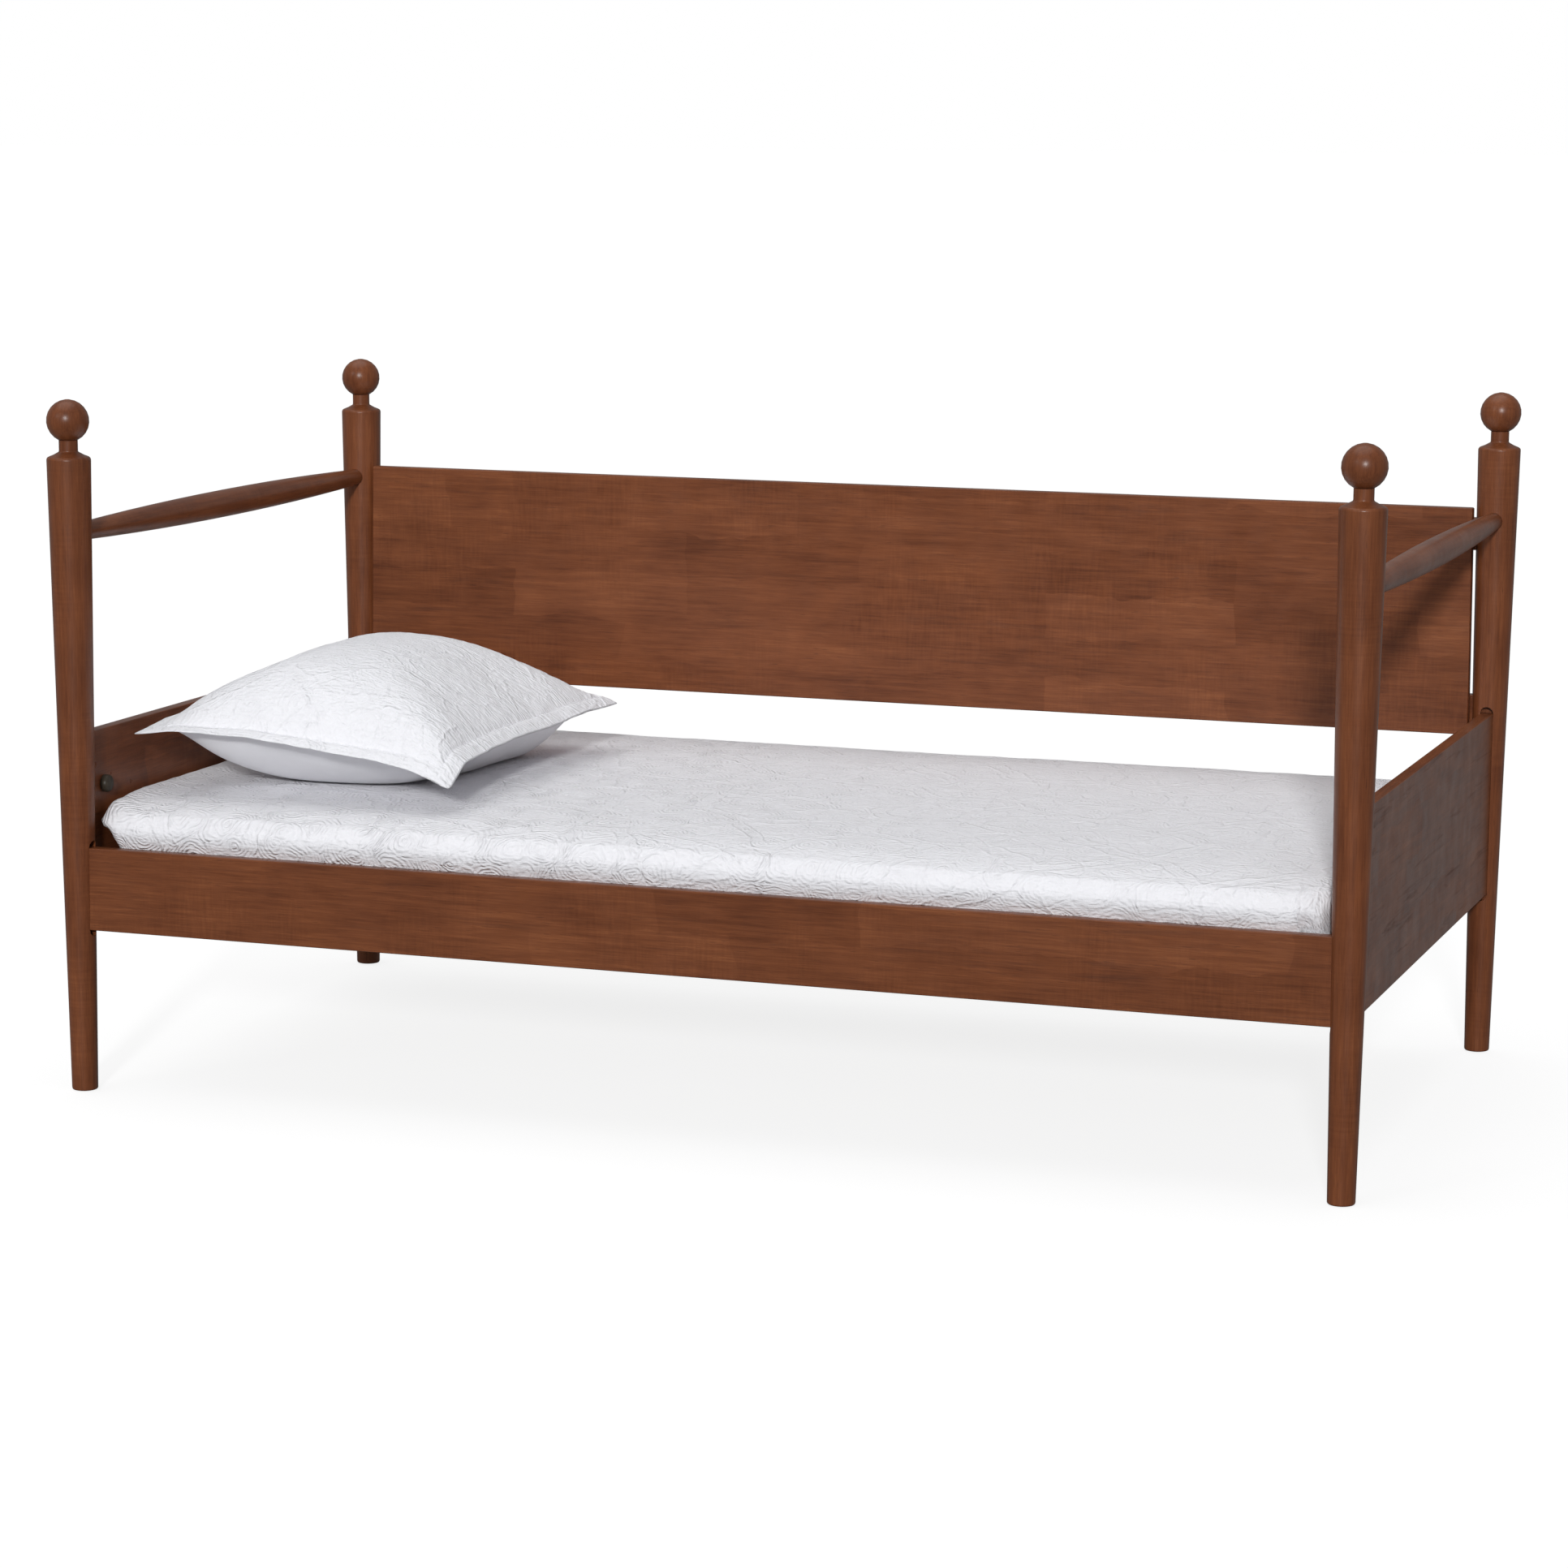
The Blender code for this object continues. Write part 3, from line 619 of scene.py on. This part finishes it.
def wrap(profile, px, py, loop, border, away, top_z):
    """Points, faces and flat coordinates of a grid continued over its border down a profile.

    profile is a list of (outward, height, length along the cloth).
    """
    nx, ny = px.shape[0] - 1, px.shape[1] - 1
    number = np.arange((nx + 1) * (ny + 1)).reshape(nx + 1, ny + 1)
    points = [np.column_stack([px.ravel(), py.ravel(), np.full(px.size, top_z)])]
    flat = [np.column_stack([px.ravel(), py.ravel()])]
    faces = []
    for i in range(nx):
        for j in range(ny):
            faces.append((number[i, j], number[i + 1, j], number[i + 1, j + 1], number[i, j + 1]))
    ring = [number[i, j] for i, j in loop]
    total = px.size
    for outward, height, length in profile:
        points.append(np.column_stack([border + away * outward, np.full(len(border), height)]))
        flat.append(border + away * length)
        fresh = list(range(total, total + len(border)))
        total += len(border)
        for k in range(len(ring)):
            after = (k + 1) % len(ring)
            faces.append((ring[k], fresh[k], fresh[after], ring[after]))
        ring = fresh
    return np.concatenate(points), faces, np.concatenate(flat), ring


def make_coverlet():
    """The quilted cover: one sheet over the top, down all four sides and tucked underneath."""
    centre = (COVER_LOW + COVER_HIGH) / 2
    half_x = (COVER_HIGH.x - COVER_LOW.x) / 2
    half_y = (COVER_HIGH.y - COVER_LOW.y) / 2
    top = COVER_HIGH.z
    edge = 0.018
    px, py, loop, border, away = slab_rings(half_x, half_y, 0.050, edge, CELL)
    profile, length = [], 0.0
    last = (0.0, top)
    quarter = math.pi / 2
    shape = []
    for a in np.linspace(0, quarter, 7)[1:]:
        shape.append((edge * math.sin(a), top - edge * (1 - math.cos(a))))
    shape += [(edge, z) for z in np.linspace(top - edge, RAIL_TOP, 8)[1:]]
    shape += [(edge, z) for z in np.linspace(RAIL_TOP, TURN_Z, 5)[1:]]
    for a in np.linspace(0, quarter, 4)[1:]:
        shape.append((edge - TURN_RADIUS * (1 - math.cos(a)), TURN_Z - TURN_RADIUS * math.sin(a)))
    shape += [(edge - TURN_RADIUS - d, TURN_Z - TURN_RADIUS) for d in np.linspace(0, TUCK, 6)[1:]]
    for outward, height in shape:
        length += math.hypot(outward - last[0], height - last[1])
        last = (outward, height)
        profile.append((outward, height, length))
    points, faces, flat, _ = wrap(profile, px, py, loop, border, away, top)
    x, y, z = points.T.copy()
    # where each point is: on the top, a side or the underside, and which way its side faces
    side = step_up(top - z, 0.004, 0.024)
    bottom = step_up(TURN_Z - z, 0.0, 0.010)
    front = step_up(-y, half_y - 0.05, half_y - 0.02) * side * (1 - bottom)
    end = step_up(abs(x), half_x - 0.05, half_x - 0.02) * side * (1 - bottom)
    wide = np.column_stack([flat, np.zeros(len(flat))])
    # the top: crowned, soft towards the edges, with slow waves and shallow puckers
    falls = np.maximum(
        np.where(y > 0, 0.0050, 0.0150) * np.exp(-np.maximum(half_y - abs(y) - edge, 0) / 0.060),
        np.where(x > 0, 0.0070, 0.0020) * np.exp(-np.maximum(half_x - abs(x) - edge, 0) / 0.060),
    ) * (1 - bottom)
    z_new = z - falls * step_up(z, 0.33, 0.43)
    slow = folds(wide, 3.2, 2, 3.0)
    small = folds(wide * (1.0, 1.6, 1.0), 17.0, 3, 8.0)
    lift = 0.0022 * slow + 0.0011 * small
    up = (1 - side) * (1 - bottom)
    z_new += up * np.minimum(lift, 0.0018)
    # the sides: out over the rail in front, with upright and slanting creases near the rail
    over = np.clip((z - RAIL_TOP) / (top - RAIL_TOP), 0, 1)
    swell = 0.0125 * np.sin(math.pi * over ** 1.2) * (z > RAIL_TOP)
    crease = folds(np.column_stack([flat[:, 0] * 26 + z * 40, z * 14, y * 0]), 1.0, 2, 5.0)
    deep = step_up(RAIL_TOP + 0.035 - z, 0.0, 0.03) * (z > RAIL_TOP + 0.001)
    push = front * (swell + 0.0026 * crease * deep + 0.0012 * small * (z > RAIL_TOP))
    y_new = y - push
    x_new = x + np.sign(x) * end * (0.0022 * crease + 0.0015 * small)
    rear = step_up(y, half_y - 0.05, half_y - 0.02) * side * (1 - bottom)
    y_new += rear * (0.0022 * crease + 0.0015 * small)
    # front left corner: the cloth bunches into a rounded ear and turns under
    near = bell(x, -half_x + 0.010, 0.030) * bell(y, -half_y + 0.022, 0.026)
    ear = near * (bell(z, top - 0.020, 0.014) - 0.9 * bell(z, top - 0.062, 0.024))
    left = step_up(-x, half_x - 0.045, half_x - 0.012) * step_up(-y, -0.25, 0.0)
    x_new -= 0.0105 * left * step_up(z, RAIL_TOP - 0.01, RAIL_TOP + 0.045) + 0.0040 * ear * side
    z_new += 0.0040 * left * step_up(z, top - 0.03, top) * step_up(y, -half_y + 0.05, -half_y + 0.10)
    tip = bell(x, -half_x + 0.014, 0.020) * bell(y, -half_y + 0.048, 0.018)
    z_new += 0.0050 * tip * step_up(z, top - 0.03, top)
    # and below the ear it is folded in behind the front's cloth
    behind = step_up(-(x + half_x - 0.018), -0.004, 0.003) * step_up(-y, half_y - 0.08, half_y - 0.035)
    groove = np.exp(-((x + half_x - 0.018) ** 2 + (y + half_y - 0.011) ** 2) / 0.0080 ** 2)
    folded = (0.0095 * behind + 0.0120 * groove) * step_up(top - z, 0.018, 0.036) * (1 - bottom)
    x_new += folded
    y_new += folded
    # front right corner: a folded pleat with a recess beside it
    pleat = bell(x, half_x - 0.031, 0.0070) * front * step_up(top - z, 0.018, 0.045)
    y_new += 0.013 * pleat
    flap = bell(x, half_x - 0.016, 0.0080) * step_up(-y, half_y - 0.05, half_y - 0.01)
    flap *= side * (1 - bottom) * step_up(top - z, 0.010, 0.040)
    y_new -= 0.0060 * flap
    x_new += 0.0030 * flap
    points = np.column_stack([x_new + centre.x, y_new + centre.y, z_new])
    obj = new_mesh("coverlet_sheet", points, faces, flat)
    thick = obj.modifiers.new("thick", "SOLIDIFY")
    thick.thickness = FABRIC
    thick.offset = -1.0
    apply_modifiers(obj)
    give(obj, cotton("matelasse_cotton", True))
    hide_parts("coverlet")
    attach(obj, "bedding")


def make_mattress():
    """The mattress inside the coverlet: ticking with a taped edge top and bottom."""
    centre = (MATTRESS_LOW + MATTRESS_HIGH) / 2
    inset, edge, corner = 0.004, 0.022, 0.045
    half_x = (MATTRESS_HIGH.x - MATTRESS_LOW.x) / 2 - inset
    half_y = (MATTRESS_HIGH.y - MATTRESS_LOW.y) / 2 - inset
    top, low = MATTRESS_HIGH.z - 0.014, MATTRESS_LOW.z + 0.0055
    px, py, loop, border, away = slab_rings(half_x, half_y, corner, edge, 0.020)
    arc = np.linspace(0, math.pi / 2, 6)[1:]
    shape = [(edge * math.sin(a), top - edge * (1 - math.cos(a))) for a in arc]
    waist = 0.0030
    for t in np.linspace(0, 1, 7)[1:]:
        height = top - edge - t * (top - low - 2 * edge)
        shape.append((edge - waist * math.sin(math.pi * t), height))
    shape += [(edge * math.cos(a), low + edge * (1 - math.sin(a))) for a in arc]
    profile = [(outward, height, 0.0) for outward, height in shape]
    points, faces, _, ring = wrap(profile, px, py, loop, border, away, top)
    # the underside repeats the top's grid
    nx, ny = px.shape[0] - 1, px.shape[1] - 1
    first = len(points)
    under = np.column_stack([px.ravel(), py.ravel(), np.full(px.size, low)])
    number = (first + np.arange((nx + 1) * (ny + 1))).reshape(nx + 1, ny + 1)
    for (i, j), r in zip(loop, ring):
        number[i, j] = r
    points = np.concatenate([points, under])
    for i in range(nx):
        for j in range(ny):
            faces.append((number[i, j], number[i, j + 1], number[i + 1, j + 1], number[i + 1, j]))
    turns = 2 * math.pi / 0.11
    puff = 0.0016 * np.sin(points[:, 0] * turns) * np.sin(points[:, 1] * turns)
    flat_part = np.minimum(half_x - abs(points[:, 0]), half_y - abs(points[:, 1])) > edge + 0.01
    points[:, 2] += puff * flat_part * (points[:, 2] > centre.z)
    points[:, 2] += abs(puff) * flat_part * (points[:, 2] < centre.z)
    points[:, 0] += centre.x
    points[:, 1] += centre.y
    obj = new_mesh("mattress_body", points, faces)
    bm = bmesh.new()
    bm.from_mesh(obj.data)
    loose = [v for v in bm.verts if not v.link_faces]
    bmesh.ops.delete(bm, geom=loose, context="VERTS")
    bm.to_mesh(obj.data)
    bm.free()
    give(obj, ticking("ticking_cloth"))
    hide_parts("mattress")
    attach(obj, "bedding")
    levels = {"mattress_tape_upper": top - edge * 0.45, "mattress_tape_lower": low + edge * 0.45}
    for name, level in levels.items():
        tape = piping(name, border + away * (edge * 0.88) + (centre.x, centre.y), level, 0.0030)
        give(tape, ticking(name + "_cloth"))
        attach(tape, "bedding")


def piping(name, outline, level, radius, sides=8):
    """A closed round cord sewn along an outline."""
    count = len(outline)
    points, faces = [], []
    for k in range(count):
        along = outline[(k + 1) % count] - outline[k - 1]
        along /= np.linalg.norm(along)
        across = np.array([along[1], -along[0]])
        for s in range(sides):
            a = 2 * math.pi * s / sides
            p = outline[k] + across * radius * math.cos(a)
            points.append((p[0], p[1], level + radius * math.sin(a)))
    for k in range(count):
        after = (k + 1) % count
        for s in range(sides):
            t = (s + 1) % sides
            faces.append((k * sides + s, k * sides + t, after * sides + t, after * sides + s))
    return new_mesh(name, points, faces)


# ---------------------------------------------------------------- pillow
SEAM = (0.482, 0.648)            # the stuffed part laid flat, inside its border
STEPS = (76, 100)
BACK_CLOTH = 1.3                 # the back lies this far beside the face in cloth coordinates


def blow_up(obj, frames, pressure):
    """Inflates a sewn case by cloth simulation and returns where its vertices end up."""
    cloth = obj.modifiers.new("cloth", "CLOTH")
    settings = cloth.settings
    settings.quality = 6
    settings.mass = 0.25
    settings.tension_stiffness = 22.0
    settings.compression_stiffness = 12.0
    settings.shear_stiffness = 6.0
    settings.bending_stiffness = 0.6
    settings.air_damping = 3.0
    settings.use_pressure = True
    settings.uniform_pressure_force = pressure
    settings.effector_weights.gravity = 0.0
    cloth.collision_settings.use_collision = False
    cloth.point_cache.frame_start = 1
    cloth.point_cache.frame_end = frames
    for number in range(1, frames + 1):
        scene.frame_set(number)
    graph = bpy.context.evaluated_depsgraph_get()
    done = obj.evaluated_get(graph).to_mesh()
    places = np.zeros(len(done.vertices) * 3, np.float32)
    done.vertices.foreach_get("co", places)
    obj.modifiers.clear()
    scene.frame_set(1)
    return places.reshape(-1, 3).astype(float)


def broad_form(heights):
    """The broad form of a sheet's heights: its first five waves each way, scaled to 1 at the top."""
    nu, nv = STEPS
    across = np.sin(np.outer(np.linspace(0, math.pi, nu + 1), np.arange(1, 6)))
    along = np.sin(np.outer(np.linspace(0, math.pi, nv + 1), np.arange(1, 6)))
    form = across @ np.linalg.pinv(across) @ heights @ np.linalg.pinv(along).T @ along.T
    return np.clip(form / form.max(), 0, 1)


def case_grid():
    """Two sheets that share their border vertices: numbers of the upper and lower grid."""
    nu, nv = STEPS
    upper = np.arange((nu + 1) * (nv + 1)).reshape(nu + 1, nv + 1)
    lower = upper.copy()
    total = upper.size
    for i in range(1, nu):
        for j in range(1, nv):
            lower[i, j] = total
            total += 1
    return upper, lower, total


def pillow_case():
    """The case before it is filled: two slightly parted sheets joined at their border."""
    nu, nv = STEPS
    upper, lower, total = case_grid()
    u = np.linspace(-1, 1, nu + 1)[:, None] * np.ones(nv + 1)
    v = np.ones(nu + 1)[:, None] * np.linspace(-1, 1, nv + 1)
    fill = (1 - u * u) * (1 - v * v)
    points = np.zeros((total, 3))
    for grid, sign in ((lower, -1.0), (upper, 1.0)):
        points[grid.ravel()] = np.column_stack(
            [(u * SEAM[0] / 2).ravel(), (v * SEAM[1] / 2).ravel(), (sign * 0.030 * fill ** 0.7).ravel()]
        )
    faces = []
    for i in range(nu):
        for j in range(nv):
            faces.append((upper[i, j], upper[i + 1, j], upper[i + 1, j + 1], upper[i, j + 1]))
            faces.append((lower[i, j], lower[i, j + 1], lower[i + 1, j + 1], lower[i + 1, j]))
    return points, faces, upper, lower, u, v


def eased(value, places, heights):
    """A smooth curve through a few heights along one side of the border."""
    fine = np.linspace(places[0], places[-1], 201)
    rough = np.interp(fine, places, heights)
    kernel = np.exp(-np.linspace(-2.5, 2.5, 25) ** 2)
    padded = np.concatenate([np.full(12, rough[0]), rough, np.full(12, rough[-1])])
    return np.interp(value, fine, np.convolve(padded, kernel / kernel.sum(), "valid"))


def border_height(u, v):
    """Height of the sham's border over the bed; u and v run from -1 to 1 over the whole sham.

    It droops at the front inner corner and lies highest along the end panel.
    """
    front = eased(
        u,
        (-1.0, -0.75, -0.3, 0.15, 0.6, 0.8, 1.0),
        (0.536, 0.544, 0.540, 0.526, 0.513, 0.501, 0.478),
    )
    rear = eased(u, (-1.0, -0.6, 0.3, 1.0), (0.550, 0.560, 0.548, 0.520))
    left = eased(v, (-1.0, -0.7, 0.5, 1.0), (0.536, 0.545, 0.568, 0.550))
    right = eased(v, (-1.0, -0.82, -0.2, 0.2, 0.6, 1.0), (0.478, 0.512, 0.519, 0.517, 0.522, 0.520))
    s, t = (u + 1) / 2, (v + 1) / 2
    corners = (1 - s) * (1 - t) * 0.536 + s * (1 - t) * 0.478 + (1 - s) * t * 0.550 + s * t * 0.520
    return (1 - t) * front + t * rear + (1 - s) * left + s * right - corners


def make_pillow():
    """The sham pillow: quilted face, plain back, and a flat border sewn round the stuffed part."""
    points, faces, upper, lower, u, v = pillow_case()
    case = new_mesh("case", points, faces)
    points = blow_up(case, 26, 7.0)
    bpy.data.objects.remove(case)
    nu, nv = STEPS
    half = np.array(SHAM_SIZE) / 2
    centre = np.array(SHAM_CENTRE)
    room = half - FLANGE * 0.96
    # the inflated form without its creases; the seam keeps only a little of its waist
    tall = broad_form(points[upper, 2])
    deep = broad_form(-points[lower, 2])
    flat_x = room[0] * u * (1 - 0.026 * (1 - v ** 2) * abs(u))
    flat_y = room[1] * v * (1 - 0.020 * (1 - u ** 2) * abs(v))
    for grid in (lower, upper):
        points[grid.ravel(), 0] = flat_x.ravel()
        points[grid.ravel(), 1] = flat_y.ravel()
    rest = PILLOW_LOW.z
    # the border slopes down outwards from its seam, most of all along the inner side
    seam_rise = 0.004 + 0.008 * step_up(u, 0.55, 1.0)

    # the border runs out from the seam, square to it
    loop = [(i, 0) for i in range(nu)] + [(nu, j) for j in range(nv)]
    loop += [(nu - i, nv) for i in range(nu)] + [(0, nv - j) for j in range(nv)]
    ring = [upper[i, j] for i, j in loop]
    border = points[ring]
    ahead = np.roll(border, -3, axis=0) - np.roll(border, 3, axis=0)
    away = np.column_stack([ahead[:, 1], -ahead[:, 0]])
    away /= np.linalg.norm(away, axis=1, keepdims=True)
    for k, (i, j) in enumerate(loop):
        if i in (0, nu) and j in (0, nv):
            away[k] = (math.copysign(1.0, border[k, 0]), math.copysign(1.0, border[k, 1]))
        else:
            # towards a corner the border turns, so that both sides meet in a mitre
            near = min(i, nu - i) if j in (0, nv) else min(j, nv - j)
            turn = max(0.0, 1 - near / 5.0)
            diagonal = np.array([math.copysign(1.0, border[k, 0]), math.copysign(1.0, border[k, 1])])
            side = np.array([0.0, diagonal[1]]) if j in (0, nv) else np.array([diagonal[0], 0.0])
            away[k] = away[k] * (1 - turn) + (side * (1 - turn) + diagonal * turn) * turn

    def place(flat_xy, rise):
        """Puts points over the bed: their height over the border's own plane is rise."""
        scaled = flat_xy / half
        z = border_height(np.clip(scaled[:, 0], -1, 1), np.clip(scaled[:, 1], -1, 1))
        return np.column_stack([flat_xy + centre, z + rise])

    out = []
    flat = []
    # the stuffed part, its upper and lower sheets parted a little along the seam
    total = len(points)
    rise = np.zeros(total)
    slope = 1 - 0.188 * u + 0.299 * v + 0.166 * u ** 2
    rise[lower.ravel()] = (seam_rise - SHAM_BELLY * deep ** 0.82 * slope).ravel()
    slope = 1 + 0.066 * u - 0.063 * v - 0.353 * u ** 2 + 0.065 * v ** 2
    rise[upper.ravel()] = (seam_rise + SHAM_CROWN * tall ** 0.80 * slope).ravel()
    on_seam = np.zeros(total, bool)
    on_seam[ring] = True
    rise[on_seam] += 0.0010
    seam_rise = np.array([seam_rise[i, j] for i, j in loop])
    body = place(points[:, :2], rise)
    out.append(body)
    grid_uv = np.zeros((total, 2))
    cloth_u, cloth_v = u * SEAM[0] / 2, v * SEAM[1] / 2
    grid_uv[lower.ravel()] = np.column_stack([(cloth_u + BACK_CLOTH).ravel(), cloth_v.ravel()])
    grid_uv[upper.ravel()] = np.column_stack([cloth_u.ravel(), cloth_v.ravel()])
    flat.append(grid_uv)
    faces_top, faces_low = [], []
    lower_ring = {}
    for k, index in enumerate(ring):
        lower_ring[index] = total + k
    out.append(body[ring] - (0, 0, FABRIC))
    flat.append(grid_uv[ring] + (BACK_CLOTH, 0))
    total += len(ring)
    for i in range(nu):
        for j in range(nv):
            faces_top.append((upper[i, j], upper[i + 1, j], upper[i + 1, j + 1], upper[i, j + 1]))
            quad = (lower[i, j], lower[i, j + 1], lower[i + 1, j + 1], lower[i + 1, j])
            faces_low.append(tuple(lower_ring.get(n, n) for n in quad))
    wavy = folds(np.column_stack([border[:, :2] * 22, np.zeros(len(ring))]), 1.0, 2, 2.0)
    rucked = folds(np.column_stack([border[:, :2] * 60, np.zeros(len(ring))]), 1.0, 1, 6.0)
    previous = ring
    for share in (0.10, 0.24, 0.48, 0.74, 0.93, 1.0):
        flap = border[:, :2] + away * FLANGE * share
        lift = seam_rise * (1 - share) + 0.0012
        lift = lift - 0.0040 * bell(share, 0.12, 0.10) + 0.0012 * bell(share, 0.5, 0.3)
        lift = lift + wavy * 0.0018 * share + rucked * 0.0016 * bell(share, 0.45, 0.35)
        if share == 0.10:
            seam_line = flap + centre
        if share == 1.0:
            lift = lift - 0.0011
        out.append(place(flap, lift))
        flat.append(grid_uv[ring] + away * FLANGE * share)
        fresh = list(range(total, total + len(ring)))
        total += len(ring)
        for k in range(len(ring)):
            after = (k + 1) % len(ring)
            faces_top.append((previous[k], fresh[k], fresh[after], previous[after]))
        previous = fresh
    for share in (0.93, 0.6, 0.25):
        flap = border[:, :2] + away * FLANGE * share
        lift = seam_rise * (1 - share) - 0.0012 + wavy * 0.0018 * share
        out.append(place(flap, lift))
        flat.append(grid_uv[ring] + away * FLANGE * share + (BACK_CLOTH, 0))
        fresh = list(range(total, total + len(ring)))
        total += len(ring)
        for k in range(len(ring)):
            after = (k + 1) % len(ring)
            faces_low.append((previous[k], fresh[k], fresh[after], previous[after]))
        previous = fresh
    inner = [lower_ring[n] for n in ring]
    for k in range(len(ring)):
        after = (k + 1) % len(ring)
        faces_low.append((previous[k], inner[k], inner[after], previous[after]))

    points = np.concatenate(out)
    flat = np.concatenate(flat)
    # it rests on the bed: flattened where it would go below the coverlet
    above = points[:, 2] - rest
    points[:, 2] = rest + 0.5 * (above + np.sqrt(above ** 2 + 0.007 ** 2))
    obj = new_mesh("pillow_sham", points, faces_top + faces_low, flat)
    obj.data.materials.append(cotton("sham_quilted", True, (0.885, 0.885, 0.920), 0.16, 1.15))
    # the plain back's white is the cloth's own colour, made brighter than the face's as painted light
    # on the pillow's shaded underside
    obj.data.materials.append(cotton("sham_plain_painted_bright", False, (0.925, 0.925, 0.955)))
    kinds = [0] * len(faces_top) + [1] * len(faces_low)
    obj.data.polygons.foreach_set("material_index", kinds)
    smooth = obj.modifiers.new("smooth", "SUBSURF")
    smooth.levels = smooth.render_levels = 1
    apply_modifiers(obj)
    crinkle_pillow(obj, centre, half)
    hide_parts("pillow")
    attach(obj, "pillow")
    sew(obj, seam_line)


def sew(obj, line):
    """A row of small stitches on the sham's face, laid in the groove beside its border."""
    surface = BVHTree.FromObject(obj, bpy.context.evaluated_depsgraph_get())
    steps = np.linalg.norm(np.roll(line, -1, axis=0) - line, axis=1)
    walked = np.concatenate([[0.0], np.cumsum(steps)])
    closed = np.vstack([line, line[:1]])
    count = int(walked[-1] / STITCH_PITCH)
    starts = np.arange(count) * walked[-1] / count
    points, faces = [], []
    for start in starts:
        ends = []
        for place in (start, start + STITCH_LENGTH):
            x = np.interp(place, walked, closed[:, 0], period=walked[-1])
            y = np.interp(place, walked, closed[:, 1], period=walked[-1])
            found = surface.ray_cast(Vector((x, y, PILLOW_HIGH.z + 0.1)), Vector((0.0, 0.0, -1.0)))[0]
            ends.append(found)
        if None in ends:
            continue
        along = (ends[1] - ends[0]).normalized()
        across = along.cross(Vector((0.0, 0.0, 1.0))).normalized()
        up = across.cross(along)
        first = len(points)
        for t, radius in ((-0.04, 0.00018), (0.12, 0.00046), (0.88, 0.00046), (1.04, 0.00018)):
            for k in range(6):
                a = k * math.pi / 3
                spoke = radius * (math.cos(a) * across + math.sin(a) * up)
                points.append(ends[0].lerp(ends[1], t) + spoke + 0.0001 * up)
        for ring in range(3):
            for k in range(6):
                a, b = first + ring * 6 + k, first + ring * 6 + (k + 1) % 6
                faces.append((a, b, b + 6, a + 6))
        faces.append(tuple(first + k for k in reversed(range(6))))
        faces.append(tuple(first + 18 + k for k in range(6)))
    stitches = new_mesh("sham_stitches", points, faces)
    give(stitches, cotton("sham_thread", False, (0.80, 0.80, 0.84)))
    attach(stitches, "pillow")


def crinkle_pillow(obj, centre, half):
    """Quilting puckers on the face and border, and soft folds on the plain back."""
    mesh = obj.data
    count = len(mesh.vertices)
    places = np.zeros(count * 3, np.float32)
    normals = np.zeros(count * 3, np.float32)
    mesh.vertices.foreach_get("co", places)
    mesh.vertices.foreach_get("normal", normals)
    places, normals = places.reshape(-1, 3).astype(float), normals.reshape(-1, 3).astype(float)
    facing = step_up(normals[:, 2], -0.15, 0.25)
    uv = (places[:, :2] - centre) / half
    edge = np.max(abs(uv), axis=1)
    right = step_up(uv[:, 0], -0.1, 0.6)
    small = folds(places, 62.0, 2, 4.0)
    middle = folds(places, 24.0, 2, 9.0)
    amount = facing * (0.0007 * small * (1 + 0.9 * right) + 0.0011 * middle * (1 + 0.6 * right))
    soft = folds(places * (0.6, 1.0, 2.0), 9.0, 2, 1.0)
    amount += (1 - facing) * 0.0016 * soft * step_up(0.97 - edge, 0.0, 0.15)
    clear = step_up(places[:, 2] - PILLOW_LOW.z, 0.001, 0.010)
    places += normals * (amount * clear)[:, None]
    places[:, 2] = np.maximum(places[:, 2], PILLOW_LOW.z)
    mesh.vertices.foreach_set("co", places.astype(np.float32).ravel())
    mesh.update()


make_camera()
make_studio()
dress_frame()
make_coverlet()
make_mattress()
make_pillow()
